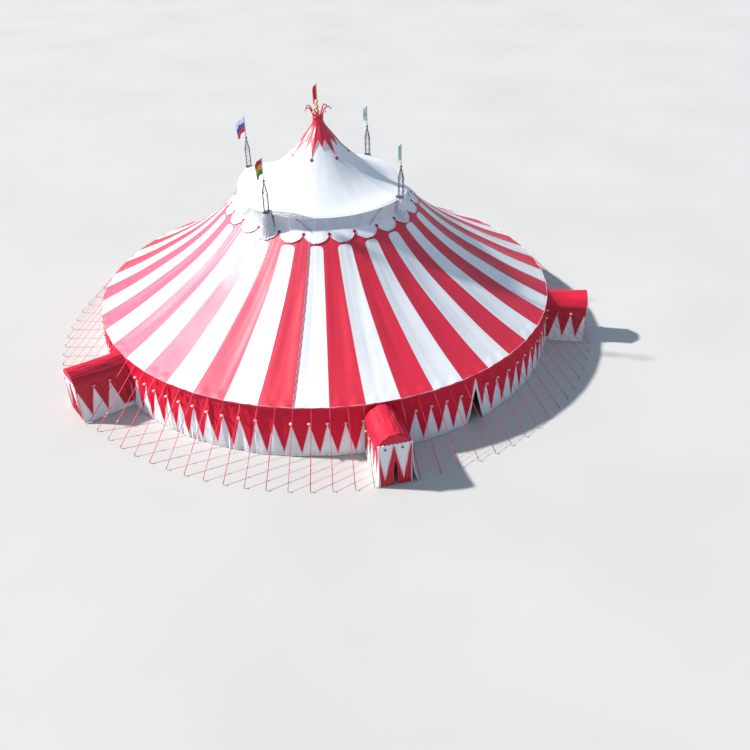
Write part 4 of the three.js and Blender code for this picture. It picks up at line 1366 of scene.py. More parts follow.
def cap_edge(deg):
    """Radius of the cap's star outline."""
    radii = np.array([CAP_LONG, CAP_VALLEY, CAP_SHORT, CAP_VALLEY])
    share = ((deg - CAP_FIRST) % 360) / CAP_STEP
    first = np.floor(share).astype(int)
    start = polar(first * CAP_STEP, radii[first % 4], 0.0)
    end = polar((first + 1) * CAP_STEP, radii[(first + 1) % 4], 0.0)
    cross = start[..., 0] * end[..., 1] - start[..., 1] * end[..., 0]
    turn = np.radians(share * CAP_STEP)
    run = end - start
    straight = cross / (np.cos(turn) * run[..., 1] - np.sin(turn) * run[..., 0])
    return straight - np.sin(np.pi * (share - first)) * 0.035


def cap_tips():
    """Directions of the cap's long points."""
    return CAP_FIRST + np.arange(CAP_POINTS) * 360 / CAP_POINTS


def cap_run():
    """Length, place and outward normal along the cupola's line, from its neck down."""
    line = CUPOLA_LINE[np.argsort(CUPOLA_LINE[:, 0])]
    steps = np.diff(line, axis=0)
    length = np.concatenate([[0.0], np.cumsum(np.hypot(steps[:, 0], steps[:, 1]))])
    slope = np.gradient(line, length, axis=0)
    return length, line, np.stack([-slope[:, 1], slope[:, 0]], 1)


def on_cap(deg, share, edge, lift):
    """Points on the cap, puffed along each point; share is 0 at the neck and 1 at the edge."""
    length, line, normal = cap_run()
    along = share * np.interp(edge, line[:, 0], length)
    radius, height, out, up = (np.interp(along, length, column) for column in (*line.T, *normal.T))
    puff = 0.03 * np.sin(np.pi * share) * (1 + 0.5 * np.cos(np.radians((deg - CAP_FIRST) * 14)))
    ripple = 0.008 * waves(deg * 0.05, along * 1.5, 31) * share
    away = 0.035 + puff + ripple + lift
    return polar(deg, radius + out * away, height + up * away)


def make_cap():
    """Star cap with piped points and a dot off each long tip."""
    share = np.linspace(0, 1, 11)[:-1]
    deg = (CAP_FIRST + (np.arange(CAP_POINTS * 4)[:, None] + share) * CAP_STEP).reshape(1, -1)
    edge = cap_edge(deg)
    rows = np.linspace(1, 0.01, 26)[:, None] ** 1.2
    grid = on_cap(deg, rows, edge, 0.0)
    cloth = stacked(0 * deg, (1 - rows) * edge * 1.8, 0 * deg)
    made = sheet_piece("star_cap_cloth", [(grid, cloth)], 0.02, finish_of(star_cap_cloth),
                       closed=True)
    settle(made, "red_cloth", "star_cap")
    cut = cut_of(wrapped(grid))
    reach = cut["flat"][1]
    cut["flat"] = (2 * reach, 1.36 * reach)
    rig.sheet(made, held="laid", rests_on=["cupola_membrane"], **cut)
    line = on_cap(deg[0], 0.995, edge[0], 0.01)
    piping = tube("cap_piping", [line], 0.04, finish_of(piping_cloth), closed=True)
    settle(piping, "white_cloth")
    tips = cap_tips()
    places = on_cupola(tips, CAP_LONG + 0.14, 0.015)
    disc = turned_pattern("cap_rim", ((0.16, -0.01), (0.16, 0.015), (0.14, 0.028)), 14)
    dome = turned_pattern("cap_dome", ((0.11, 0.0), (0.1, 0.04), (0.06, 0.062)), 12)
    rims = copies("cap_dot_rims", disc, places, outward(tips, 43), finish_of(dot_rim_paint))
    domes = copies("cap_dot_domes", dome, places, outward(tips, 43), finish_of(navy_paint))
    settle(rims, "red_cloth")
    settle(domes, "white_cloth")


def make_crown():
    """Seven curled horns with balls on a rolled ring round the neck."""
    path = smooth_line(HORN_PATH, 22)
    tips = cap_tips()
    lines = [polar(deg, path[:, 0], CROWN_FOOT + path[:, 1]) for deg in tips]
    taper = 1.25 - 0.6 * np.linspace(0, 1, 22)
    horns = tube("crown_horns", lines, 0.12, finish_of(crown_vinyl), [taper] * CAP_POINTS, sides=10)
    outline = ((0.16, 0.0), (0.47, 0.0), (0.5, 0.05), (0.48, 0.11), (0.43, 0.16), (0.3, 0.2),
               (0.16, 0.2))
    ring = Piece()
    ring.add(*turned_body(outline, 42, (0, 0, CROWN_FOOT)))
    seat = ring.make("crown_ring", finish_of(crown_vinyl))
    outline = ((0.04, -0.1), (0.085, -0.06), (0.105, 0), (0.085, 0.06), (0.04, 0.1))
    knob = turned_pattern("crown_knob", outline, 12)
    end, top = HORN_PATH[-1]
    places = polar(tips, end + 0.02, CROWN_FOOT + top - 0.03)
    balls = copies("crown_balls", knob, places, outward(tips, 125), finish_of(crown_ball_paint))
    settle(joined("crown_of_horns", [horns, seat, balls]), "red_cloth", "crown")


def ball_outline(radius, centre, steps=7):
    """Outline of a ball on a pole, less its ends."""
    turn = np.radians(np.linspace(-70, 70, steps))
    return list(zip(radius * np.cos(turn), centre + radius * np.sin(turn)))


def make_king_pole():
    """Pole from its shoe up to the gilded spire and the apex flagpole."""
    shoe = [(0.2, 12.32), (0.36, 12.325), (0.36, 12.38), (0.15, 12.4), (0.12, 12.45)]
    neck = [(0.12, 19.5), (0.33, 19.52), (0.33, 19.86), (0.12, 19.9), (0.12, 20.26), (0.1, 20.29)]
    spire = ball_outline(0.17, 20.45) + [(0.07, 20.64), (0.06, 20.7)]
    spire += ball_outline(0.13, 20.85) + [(0.055, 21.0), (0.05, 21.16)]
    flagpole = ball_outline(0.1, 21.3) + [(0.036, 21.42), (0.034, APEX_FLAG_TOP), (0.02, 22.8)]
    piece = Piece()
    piece.add(*turned_body(shoe + neck + spire + flagpole, 20))
    settle(piece.make("king_pole_and_spire", finish_of(gold_paint)), "gold_paint", "king_pole")


def mast_lines(centre):
    """Chords, braces and head bars of one lattice mast."""
    corners = [(1, 1), (-1, 1), (-1, -1), (1, -1)]
    feet = [centre + np.array([x * MAST_HALF, y * MAST_HALF, 0.0]) for x, y in corners]
    up = np.array([0.0, 0.0, 1.0])
    shoulders = [foot + up * MAST_SHOULDER for foot in feet]
    head = centre + up * MAST_HEAD
    levels = np.linspace(0.1, MAST_SHOULDER, 34)
    chords = [np.array([foot + up * 0.03, shoulder]) for foot, shoulder in zip(feet, shoulders)]
    chords += [np.array([shoulder, head]) for shoulder in shoulders]
    braces = []
    for k in range(4):
        ends = (feet[k], feet[(k + 1) % 4])
        tops = (shoulders[k], shoulders[(k + 1) % 4])
        braces.append(np.array([ends[i % 2] + up * z for i, z in enumerate(levels)]))
        for z in levels[1::4]:
            braces.append(np.array([end + up * z for end in ends]))
        for share in (0.0, 0.35, 0.65):
            braces.append(np.array([top + (head - top) * share for top in tops]))
        zigzag = (tops[0], tops[1] + (head - tops[1]) * 0.35, tops[0] + (head - tops[0]) * 0.65)
        braces.append(np.array(zigzag))
    return chords, braces


def make_masts():
    """Four lattice masts with pyramid heads, flagpoles and foot plates."""
    steel = finish_of(mast_steel)
    plate = ((0.61, 0.0), (0.636, 0.012), (0.636, 0.04), (0.62, 0.05), (0.3, 0.055))
    pole = ball_outline(0.11, MAST_HEAD)
    pole += [(0.03, MAST_HEAD + 0.14), (0.026, FLAGPOLE_TOP - 0.12)]
    pole += ball_outline(0.045, FLAGPOLE_TOP - 0.05, 5)
    for corner, deg in CORNERS.items():
        centre = polar(deg, MAST_CIRCLE, 0.0)
        chords, braces = mast_lines(centre)
        name = f"mast_{corner}"
        bars = tube(name + "_chords", chords, 0.065, steel, sides=8)
        lattice = tube(name + "_braces", braces, 0.034, steel, sides=5)
        fittings = Piece()
        points, faces = turned_body(plate, 4)
        fittings.add(turned(points, 45, centre), faces)
        fittings.add(*turned_body(pole, 12, centre))
        ends = fittings.make(name + "_ends", steel)
        settle(joined(name + "_lattice", [bars, lattice, ends]), "galvanised_steel", name)


# About how high over the canopy a boot's net ends, how many folds go round it, how deep they are,
# and at which shares of its height it is tied
BOOT_LOOKS = {
    "front_left": {"pale_from": 2.2, "folds": 17, "depth": 0.035, "ties": (0.5, 0.93)},
    "front_right": {"pale_from": 0.95, "folds": 11, "depth": 0.05, "ties": (0.62, 0.93)},
    "rear_left": {"pale_from": -0.2, "folds": 14, "depth": 0.03, "ties": (0.93,)},
    "rear_right": {"pale_from": -0.1, "folds": 12, "depth": 0.035, "ties": (0.75, 0.93)},
}


def on_boot(centre, look, turn, rise, seed):
    """Points on a boot: gathered folds, pinched where it is tied, spread on the canopy."""
    out = polar(turn, 1.0, 0.0)
    foot = centre + out * 0.66
    base = height_on(CANOPY_LINE, np.hypot(foot[..., 0], foot[..., 1])) + 0.035
    height = base + (BOOT_TOP - base) * rise
    radius = 0.62 - 0.25 * (height - BOOT_BASE) / (BOOT_TOP - BOOT_BASE)
    fold = np.cos(np.radians(turn * look["folds"]) + waves(turn * 0.02, rise * 2, seed) * 0.8)
    radius = radius + look["depth"] * fold * (0.35 + 0.65 * np.sin(np.pi * rise) ** 0.5)
    radius = radius + 0.14 * np.exp(-rise / 0.05)
    for tie in look["ties"]:
        radius = radius - 0.045 * np.exp(-((rise - tie) / 0.03) ** 2)
    radius = np.maximum(radius, 0.325)
    return centre + out * radius[..., None] + np.array([0, 0, 1.0]) * height[..., None]


def make_boots():
    """Gathered sleeves where the masts pass the canopy, with their ties."""
    turn = np.arange(0, 360, 3.0)[None]
    rise = np.concatenate([np.linspace(0, 0.1, 5), np.linspace(0.13, 1, 40)])[:, None]
    wide, high = np.broadcast_arrays(turn, rise)
    cloth = stacked(np.radians(wide) * 0.5, high * 2.0, 0 * high)
    around = np.arange(0, 360, 10.0)
    ties = []
    for seed, (corner, deg) in enumerate(CORNERS.items()):
        look = BOOT_LOOKS[corner]
        centre = polar(deg, MAST_CIRCLE, 0.0)
        grid = on_boot(centre, look, wide, high, seed)
        name = f"mast_boot_{corner}"
        made = sheet_piece(name + "_sleeve", [(grid, cloth)], sizes().skin,
                           finish_of(boot_cloth, look["pale_from"]), closed=True)
        settle(made, "white_cloth", name)
        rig.sheet(made, held="gathered", rests_on=[f"mast_{corner}_lattice"],
                 **cut_of(wrapped(grid)))
        for tie in look["ties"]:
            line = on_boot(centre, look, around, np.full(len(around), tie), seed)
            ties.append(centre + (line - centre) * np.array([1.05, 1.05, 1.0]))
    ropes = tube("boot_ties", ties, 0.04, finish_of(hem_rope), sides=5, closed=True)
    settle(ropes, "white_cloth")


# Bands of the flags from the top down, and how far the flags on the masts reach out
FLAGS = {
    "rear_left": ((0.75, 0.77, 0.85), (0.06, 0.1, 0.42), (0.6, 0.03, 0.07)),
    "front_left": ((0.55, 0.03, 0.05), (0.75, 0.5, 0.06), (0.05, 0.3, 0.12)),
    "rear_right": ((0.78, 0.84, 0.84), (0.45, 0.72, 0.6), (0.78, 0.84, 0.84)),
    "front_right": ((0.42, 0.72, 0.6), (0.5, 0.78, 0.68), (0.42, 0.72, 0.6)),
    "apex": ((0.8, 0.02, 0.05), (0.75, 0.03, 0.06), (0.8, 0.02, 0.05)),
}
FLAG_REACH = {"rear_left": 0.85, "front_left": 0.6, "rear_right": 0.42, "front_right": 0.3}
FLAG_SKIN = 0.008


def flag_cloth(corner):
    """Thin flag cloth in three broad bands."""
    finish = Finish(f"flag_{corner}_cloth")
    across, down, _ = finish.marks()
    top, middle, foot = FLAGS[corner]
    upper = finish.mix(finish.ramp(down, 0.32, 0.345), top, middle)
    colour = finish.mix(finish.ramp(down, 0.655, 0.68), upper, foot)
    colour = finish.worn(colour, 0.4, 1.5)
    hem = 1.0 - finish.ramp(across, 0.03, 0.05)
    colour = finish.shade(hem * 0.5, colour, (0.7, 0.7, 0.75))
    ruffle = finish.noise(finish.vector(across * 4.0, down * 1.5, 0.0), 2.0, 4.0)
    relief = ruffle + finish.weave() * 0.3
    return finish.done(colour, 0.6 + ruffle * 0.15, relief, 0.02)


def hanging_flag(top, length, height, drop, wave, deg, centre):
    """A limp flag as a grid: it falls from its pole in folds that deepen away from it."""
    out = np.linspace(0, 1, 34)[None]
    down = np.linspace(0, 1, 26)[:, None]
    swing = wave * out**0.7 * np.sin(2 * np.pi * (1.35 * out + 0.22 * down))
    swing = swing + wave * 0.4 * out * np.sin(2 * np.pi * (3.1 * out - 0.5 * down) + 1.0)
    reach = length * out * (1 - 0.3 * down * out) + 0.045
    fall = top - height * down - drop * out**1.6 * (1 - 0.15 * np.sin(np.pi * down))
    return turned(stacked(reach, swing, fall), deg, centre), stacked(out * length, down, 0 * out)


def make_flags():
    """Four mast flags and the apex flag, hanging limp."""
    for corner, deg in CORNERS.items():
        reach = FLAG_REACH[corner]
        grid, cloth = hanging_flag(FLAGPOLE_TOP - 0.06, 1.2 * reach, 1.25, 0.75 * reach,
                                   0.13 * reach**0.5, 205, polar(deg, MAST_CIRCLE, 0.0))
        name = f"mast_flag_{corner}"
        flag = finish_of(flag_cloth, corner)
        made = sheet_piece(name + "_cloth", [(grid, cloth)], FLAG_SKIN, flag)
        settle(made, "flag_cloth", name)
        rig.sheet(made, held="hung", rests_on=[f"mast_{corner}_lattice"], **cut_of(grid))
    grid, cloth = hanging_flag(APEX_FLAG_TOP, 0.42, 1.2, 0.45, 0.09, 200, (0.0, 0.0, 0.0))
    flag = finish_of(flag_cloth, "apex")
    made = sheet_piece("apex_flag_cloth", [(grid, cloth)], FLAG_SKIN, flag)
    settle(made, "red_cloth", "apex_flag")
    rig.sheet(made, held="hung", rests_on=["king_pole_and_spire"], **cut_of(grid))


def wall_radius(height):
    """Radius of the side wall before its folds, and how far down it is, from 0 at its top to 1."""
    down = np.clip((WALL_TOP - height) / (WALL_TOP - WALL_FOOT), 0, 1)
    return WALL_TOP_RADIUS + (WALL_FOOT_RADIUS - WALL_TOP_RADIUS) * down, down


def on_wall(deg, height):
    """Points on the side wall, flat-sided like the eave, with folds that deepen downwards."""
    deg, height = np.broadcast_arrays(np.asarray(deg, float), np.asarray(height, float))
    radius, down = wall_radius(height)
    pleat = np.sin(deg * 2 * np.pi / 1.27 + 1.6 * waves(deg * 0.35, height * 0.3, 41))
    broad = waves(deg * 1.1, height * 0.35, 43, count=6)
    fan = np.arctan2(from_strap(deg) * 0.37, down * 4.3 + 0.2)
    pulls = np.exp(-down / 0.28) * np.cos(11 * fan + waves(deg, deg * 0, 47))
    belly = ridge_share(deg) * np.sin(np.pi * down)
    windy = 1 + 0.8 * np.exp(-((deg - 228.0) / 16.0) ** 2)
    fold = windy * (0.3 * pleat * (0.35 + 0.65 * down) + 0.35 * broad + 0.45 * pulls) + 0.5 * belly
    held = soft_step(down, 0.0, 0.12)
    return polar(deg, radius * flat_sided(deg) + sizes().wall_fold * fold * held, height)


def wall_spans():
    """First and last direction of each part of the side wall."""
    spans = {
        "wall_left_porch": (195.0, 210.0),
        "wall_front_left": (210.0, 262.5),
        "wall_front_porch": (262.5, 277.5),
        "wall_doorway": (277.5, 300.0),
        "wall_front_right": (300.0, 330.0),
        "wall_right_porch": (330.0, 345.0),
    }
    for i in range(4):
        spans[f"wall_rear_{i + 1}"] = (345.0 + 52.5 * i, 397.5 + 52.5 * i)
    return spans


def arch_height(across, half=PORCH_HALF, inset=0.0):
    """Height of a porch's arch at a distance from its middle line."""
    rise = PORCH_CROWN - PORCH_SPRING
    full = (PORCH_HALF**2 + rise**2) / (2 * rise)
    aside = np.minimum(np.abs(across), half)
    return PORCH_CROWN - full + np.sqrt(np.maximum((full - inset) ** 2 - aside**2, 0))


def wall_grid(deg, foot):
    """The wall over a row of directions, from its foot up to the eave."""
    return on_wall(deg, foot + (WALL_TOP - foot) * np.linspace(0, 1, 27)[:, None])


def wall_run(first, last, foot=None):
    """A length of wall. foot gives the height of its foot at a direction, where it isn't low."""
    count = max(int(math.ceil((last - first) / WALL_STEP)), 2) + 1
    deg = np.linspace(first, last, count)[None]
    return wall_grid(deg, foot(deg) if foot else WALL_FOOT)


def doorway_grid(start, end):
    """The wall round the doorway: its foot rises to a point where two flaps are drawn aside."""
    half = math.degrees(DOOR_HALF / WALL_FOOT_RADIUS)
    cuts = (start, DOOR - half, DOOR, DOOR + half, end)
    columns = [np.linspace(a, b, 8 if b - a < 3 else 24)[:-1] for a, b in zip(cuts, cuts[1:])]
    deg = np.concatenate([*columns, [end]])[None]
    away = np.abs(np.radians(deg - DOOR) * WALL_FOOT_RADIUS)
    raised = np.maximum(0.0, 1 - away / DOOR_HALF) * (DOOR_HIGH - WALL_FOOT)
    return wall_grid(deg, WALL_FOOT + raised)


def wall_grids(name, start, end):
    """The grids of one part: jambs and a lintel at a porch, one sheet elsewhere."""
    start, end = start + 0.01, end - 0.01
    if name == "wall_doorway":
        return [doorway_grid(start, end)]
    porch = next((p for side, p in PORCHES.items() if name == f"wall_{side}_porch"), None)
    if porch is None:
        return [wall_run(start, end)]
    inset = 0.11
    centre = porch["deg"] + math.degrees(porch["shift"] / WALL_TOP_RADIUS)
    half = math.degrees((PORCH_HALF - inset) / WALL_TOP_RADIUS)

    def over_gate(deg):
        across = np.radians(deg - centre) * WALL_TOP_RADIUS
        return arch_height(across, PORCH_HALF - inset, inset)

    return [wall_run(start, centre - half), wall_run(centre - half, centre + half, over_gate),
            wall_run(centre + half, end)]


def make_walls():
    """The side wall in ten parts, and the balls on its teeth."""
    for name, (start, end) in wall_spans().items():
        grids = wall_grids(name, start, end)
        made = sheet_piece(name + "_cloth", [(grid, None) for grid in grids], sizes().skin,
                           finish_of(wall_cloth))
        settle(made, "red_cloth", name)
        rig.sheet(made, held="hung", rests_on=["eave_piping"], **cut_of(*grids))
    make_wall_balls()


def ball_pattern(name):
    """A flattened ball as a pattern."""
    half = sizes().ball_width / 2
    turn = np.radians([-75, -45, -15, 15, 45, 75])
    return turned_pattern(name, list(zip(half * np.cos(turn), 0.62 * half * np.sin(turn))), 10)


def make_wall_balls():
    """Balls on the tips of the wall's teeth, one of them missing."""
    deg = np.arange(0, 360, TOOTH) + TOOTH_SHIFT
    keep = np.abs(deg - MISSING_BALL - TOOTH_SHIFT) > 1
    keep &= np.abs(deg - DOOR - TOOTH_SHIFT) > 1
    for porch in PORCHES.values():
        keep &= np.abs(deg - porch["deg"]) > 3.6
    deg = deg[keep]
    places = on_wall(deg, 3.14 + 0.03 * waves(deg, deg * 0, 53)) + polar(deg, 0.12, 0.0)
    made = copies("wall_balls", ball_pattern("ball_pattern"), places, outward(deg),
                  finish_of(ball_foam))
    settle(made, "white_cloth")


TEETH = {
    "left": {"start": 22.75, "step": 1.36, "tip": 2.85, "foot": 0.45},
    "front": {"start": 22.24, "step": 1.04, "tip": 2.72, "foot": 0.55},
    "right": {"start": 22.15, "step": 1.24, "tip": 2.6, "foot": 0.45},
}
CURTAIN_TOP = 3.62
CURTAIN_MIDDLE = -0.11
BEADS = 9


def at_gate(porch, across, distance, height):
    """Points of a porch, given across its middle line, out from the tent's axis and up."""
    out = (distance - PORCH_REAR_HOOP) / (porch["face"] - PORCH_REAR_HOOP)
    rise = (height - WALL_FOOT) / (PORCH_SPRING - WALL_FOOT)
    along = -distance + porch["lean"] * np.maximum(0.0, out) * rise
    points = stacked(across + porch["shift"], along, height)
    return turned(points, porch["deg"] - FRONT)


def cover_section(flares):
    """Cross-section of a porch from one foot over the arch to the other, as across and height."""
    leg = np.linspace(WALL_FOOT, PORCH_SPRING, 19)[:-1]
    swing = ((PORCH_SPRING - leg) / (PORCH_SPRING - WALL_FOOT)) ** 3
    arch = np.linspace(-1, 1, 31)
    across = PORCH_HALF * np.sin(arch * math.pi / 2)
    left = -(PORCH_HALF + flares[0] * swing)
    right = (PORCH_HALF + flares[1] * swing)[::-1]
    line = np.concatenate([left, across, right])
    return line, np.concatenate([leg, arch_height(across), leg[::-1]])


def on_cover(porch, across, height, share, seed):
    """Points on a porch's cover: taut over its hoops, slack between, creased along its length."""
    wall, _ = wall_radius(height)
    start = np.sqrt(wall**2 - across**2) - 0.1
    end = porch["face"] - 0.05
    distance = start + (end - start) * share
    roof = np.clip((height - PORCH_SPRING) / (PORCH_CROWN - PORCH_SPRING), 0, 1)
    slack = np.sin(np.pi * share)
    crease = 0.026 * waves(across * 8.0, share * 1.6, seed, count=9)
    pull = (0.02 + 0.018 * (across > 0)) * waves(across * 4.0 + share * 3.0, share * 4.0, seed + 1)
    lifted = height + roof * (0.1 * share - 0.07 * slack + crease + pull)
    leg = np.clip((PORCH_SPRING - height) / PORCH_SPRING, 0, 1)
    fold = np.sin(distance * 7.5 + 1.5 * waves(distance, height * 0.4, seed + 2))
    blown = 0.05 * slack * np.sin(np.pi * leg) + 0.035 * fold * leg**0.6
    aside = across - np.sign(across) * blown * (leg > 0)
    return at_gate(porch, aside, distance, lifted), distance


def porch_cloth(side):
    """Red porch cover with teeth along its side walls, long folds on one side of its ridge with painted shade in them,
    and painted shade on its side walls.
    """
    finish = Finish(f"porch_{side}_cloth")
    phase, height, around = finish.marks()
    row = TEETH[side]
    step = row["step"]
    across = finish.nearest(phase, 1.0, 0.0) * step
    inside = tooth(finish, across, height, step / 2, row["tip"], row["foot"])
    white, border = finish.edges(inside.least((phase + 0.5) * step))
    hem = 1.0 - finish.ramp(height, row["foot"] - 0.06, row["foot"] - 0.03)
    red, pale, drips = wall_shades(finish, phase * 4.0, height)
    wrinkle = finish.noise(finish.vector(around * 30.0, phase * 0.12, 0.0), 1.6, 2.0, 0.5)
    roof = finish.ramp(height, 3.4, 3.7)
    # Painted shade: the folds are darkened, a little everywhere and more on the ruffled half of the roof beyond its
    # ridge, which lies in shade.
    shaded_ruffled_half = finish.ramp(around, 0.5, 0.51) * roof
    folds = finish.ramp(wrinkle, 0.46, 0.56)
    red = finish.shade(folds * (shaded_ruffled_half * 0.6 + 0.2), red, (0.4, 0.25, 0.33))
    # Painted shade: the side walls below the roof are darkened, as they stand in shade.
    red = finish.shade(0.35 - roof * 0.35, red, (0.5, 0.4, 0.45))
    colour = finish.mix(white.most(hem), red, pale)
    colour = finish.mix(border * (1.0 - hem) * 0.8, colour, colour_of("cream"))
    relief = wrinkle + drips * 0.2 + finish.weave() * 0.2
    return finish.done(colour, 0.46 - roof * 0.14 + wrinkle * 0.12, relief, 0.045)


def curtain_cloth():
    """Red curtains with two white pennants that stand on their points, edged in pale pink."""
    finish = Finish("curtain_cloth")
    across, height, fold = finish.marks()
    tip = 0.5
    share = (height - tip) / (CURTAIN_TOP - tip)
    middle = 0.72 - share * 0.07
    inside = share * 0.65 - abs(abs(across - CURTAIN_MIDDLE) - middle)
    above = finish.ramp(height, tip - 0.05, tip + 0.05)
    white = finish.ramp(inside, -0.008, 0.008) * above
    border = finish.band(inside - 0.04, 0.055, 0.01) * above
    red, pale, drips = wall_shades(finish, across * 3.0, height)
    # Painted shade: the red is darkened in the hollows of the folds, from the fold value that each point carries.
    red = finish.shade((1.0 - fold) * 0.45, red, (0.5, 0.4, 0.5))
    colour = finish.mix(white, red, pale)
    colour = finish.mix(border * 0.9, colour, (0.88, 0.55, 0.62))
    hem = finish.band(height - 0.14, 0.015, 0.01)
    colour = finish.shade(hem * 0.5, colour, (0.6, 0.3, 0.35))
    relief = drips + finish.weave() * 0.4
    return finish.done(colour, 0.5 + drips * 0.15, relief, 0.02)


def curtain_half(porch, side, seed):
    """One half of a porch's curtains: full folds that open at the foot of the slit."""
    share = np.linspace(0, 1, 64)[None]
    height = np.linspace(WALL_FOOT + 0.02, CURTAIN_TOP + 0.06, 34)[:, None]
    fall = 1 - height / CURTAIN_TOP
    opened = 1 - soft_step(height, 1.4, 2.4)
    inner = 0.012 + 0.13 * opened
    outer = 1.27 - 0.1 * fall
    across = side * (inner + (outer - inner) * share)
    wave = np.sin(share * 4.5 * 2 * np.pi + 0.7 * waves(share * 3, height * 0.7, seed))
    depth = 0.012 + 0.03 * fall
    distance = porch["face"] - 0.03 + depth * wave - 0.03 * opened * (1 - share)
    # The third value carried is the fold's wave, which paints shade into the hollows of the folds.
    return at_gate(porch, across, distance, height), stacked(across, height, 0.5 + 0.5 * wave)


def tympanum(porch):
    """The lens of cloth between the curtain rail and the arch."""
    across = np.linspace(-1.28, 1.28, 49)[None]
    rise = np.linspace(0, 1, 12)[:, None]
    inner = 1 - (across / PORCH_HALF) ** 2
    top = arch_height(across) + 0.07 * inner
    low = np.minimum(CURTAIN_TOP - 0.03, top - 0.03)
    height = low + (top - low) * rise
    bulge = 0.06 * np.sin(np.pi * rise) * inner + 0.012 * waves(across * 4, rise * 2, 61)
    grid = at_gate(porch, across, porch["face"] - 0.02 + bulge, height)
    # The third value carried, 0.8, gives the lens a little painted shade.
    return grid, stacked(across + 8.0, height, 0.8)


def jamb_grid(porch, side, width):
    """A narrow pale flap down one side of a porch's face."""
    share = np.linspace(0, 1, 17)[None]
    height = np.linspace(WALL_FOOT, PORCH_SPRING + 0.05, 24)[:, None]
    fall = np.maximum(PORCH_SPRING - height, 0) / (PORCH_SPRING - WALL_FOOT)
    swing = porch["flares"][0 if side < 0 else 1] * fall**3
    across = side * (PORCH_HALF + 0.02 + swing - width * (1 - share))
    fold = 0.15 * width * np.sin(share * 2 * np.pi * 1.7 + 0.6 * waves(height, share, 67))
    return at_gate(porch, across, porch["face"] + fold, height)


def make_porches():
    """The three porches."""
    for side in PORCHES:
        make_porch(side)


def make_porch(side):
    """One porch: its cover, its curtained face with beads and dots, and the balls on its walls."""
    porch = PORCHES[side]
    row = TEETH[side]
    skin = sizes().skin
    name = f"porch_{side}"
    across, height = cover_section(porch["flares"])
    share = np.linspace(0, 1, 43)[:, None]
    grid, distance = on_cover(porch, across[None], height[None], share, 71)
    phase = (distance - row["start"]) / row["step"]
    cloth = stacked(phase, height[None], np.linspace(0, 1, len(across))[None])
    made = sheet_piece(name + "_cover_cloth", [(grid, cloth)], skin, finish_of(porch_cloth, side))
    settle(made, "red_cloth", name + "_cover")
    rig.sheet(made, held="stretched", rests_on=[name + "_frame"], **cut_of(grid))
    sheets = [curtain_half(porch, -1, 73), curtain_half(porch, 1, 79), tympanum(porch)]
    made = sheet_piece(name + "_curtain_cloth", sheets, skin, finish_of(curtain_cloth))
    settle(made, "red_cloth", name + "_curtains")
    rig.sheet(made, held="gathered", rests_on=[name + "_frame"],
             **cut_of(*[part for part, _ in sheets]))
    flaps = [jamb_grid(porch, -1, 0.09), jamb_grid(porch, 1, 0.06)]
    made = sheet_piece(name + "_jamb_cloth", [(flap, None) for flap in flaps], skin,
                       finish_of(jamb_cloth))
    settle(made, "white_cloth")
    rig.sheet(made, held="hung", rests_on=[name + "_frame"], **cut_of(*flaps))
    piping = tube(name + "_piping", [grid[-1]], 0.035, finish_of(dot_rim_paint))
    settle(piping, "red_cloth")
    make_porch_trim(name, porch, row)


def make_porch_trim(name, porch, row):
    """Beads along the curtain rail, dots on the pennants and balls on the teeth of a porch."""
    face = porch["face"]
    line = np.linspace(-1.22, 1.22, BEADS)
    outline = ((0.125, -0.03), (0.13, 0.0), (0.1, 0.04), (0.05, 0.06))
    bead = turned_pattern("bead_pattern", outline, 12)
    beads = copies(name + "_beads", bead, at_gate(porch, line, face + 0.05, CURTAIN_TOP + 0.02),
                   outward([porch["deg"]], 90), finish_of(white_paint), (0.8, 1.0, 1.0))
    settle(beads, "white_cloth")
    spots = at_gate(porch, CURTAIN_MIDDLE + np.array([-0.65, 0.65]), face + 0.07, 3.3)
    dot = turned_pattern("dot_pattern", ((0.085, -0.02), (0.085, 0.012), (0.06, 0.03)), 14)
    dots = copies(name + "_dots", dot, spots, outward([porch["deg"]], 90), finish_of(navy_paint))
    settle(dots, "white_cloth")
    places = []
    for sign in (-1, 1):
        distance = row["start"]
        while distance < face - 0.3:
            places.append(at_gate(porch, sign * (PORCH_HALF + 0.12), distance, row["tip"] + 0.2))
            distance += row["step"]
    balls = copies(name + "_balls", ball_pattern("porch_ball"), places, outward([porch["deg"]]),
                   finish_of(ball_foam), 0.9)
    settle(balls, "white_cloth")


STRAPS_ASIDE = {206.25: 206.75, 266.25: 265.7, 333.75: 333.25}
STRAP_HEAD = 4.45
STRAP_FOOT = 0.2


def strap_directions():
    """Directions of the guy straps: every half stripe, none before a porch."""
    porches = [porch["deg"] for porch in PORCHES.values()]
    even = [deg for deg in np.arange(0, 360, HALF_FACET) if deg not in porches]
    return np.array([STRAPS_ASIDE.get(float(deg), float(deg)) for deg in even])


def make_straps():
    """Webbing round the eave and the flat straps from it down to their stakes."""
    directions = strap_directions()
    share = np.linspace(0, 1, 9)
    lines = []
    widths = []
    for i, deg in enumerate(directions):
        head = on_canopy(deg, EAVE_RADIUS + 0.02)
        start = np.hypot(head[0], head[1])
        radius = start + (STAKE_RADIUS - 0.03 - start) * share
        sag = 0.04 * 4 * share * (1 - share)
        lines.append(polar(deg, radius, STRAP_HEAD + (STRAP_FOOT - STRAP_HEAD) * share - sag))
        widths.append(np.full(len(share), 1.0 if i % 2 else 0.8))
    webbing = finish_of(strap_webbing)
    straps = ribbon("strap_lengths", lines, sizes().strap_width, 0.016, webbing, widths)
    edge = on_canopy(np.arange(0, 360, 0.9375), EAVE_RADIUS + 0.025)
    edge[:, 2] = STRAP_HEAD
    band = ribbon("eave_webbing", [edge], 0.014, 0.1, webbing, closed=True)
    made = joined("guy_straps_and_webbing", [straps, band])
    settle(made, "red_cloth", *[f"guy_straps_{i}" for i in range(1, 5)])
    make_strap_hardware(directions, lines)


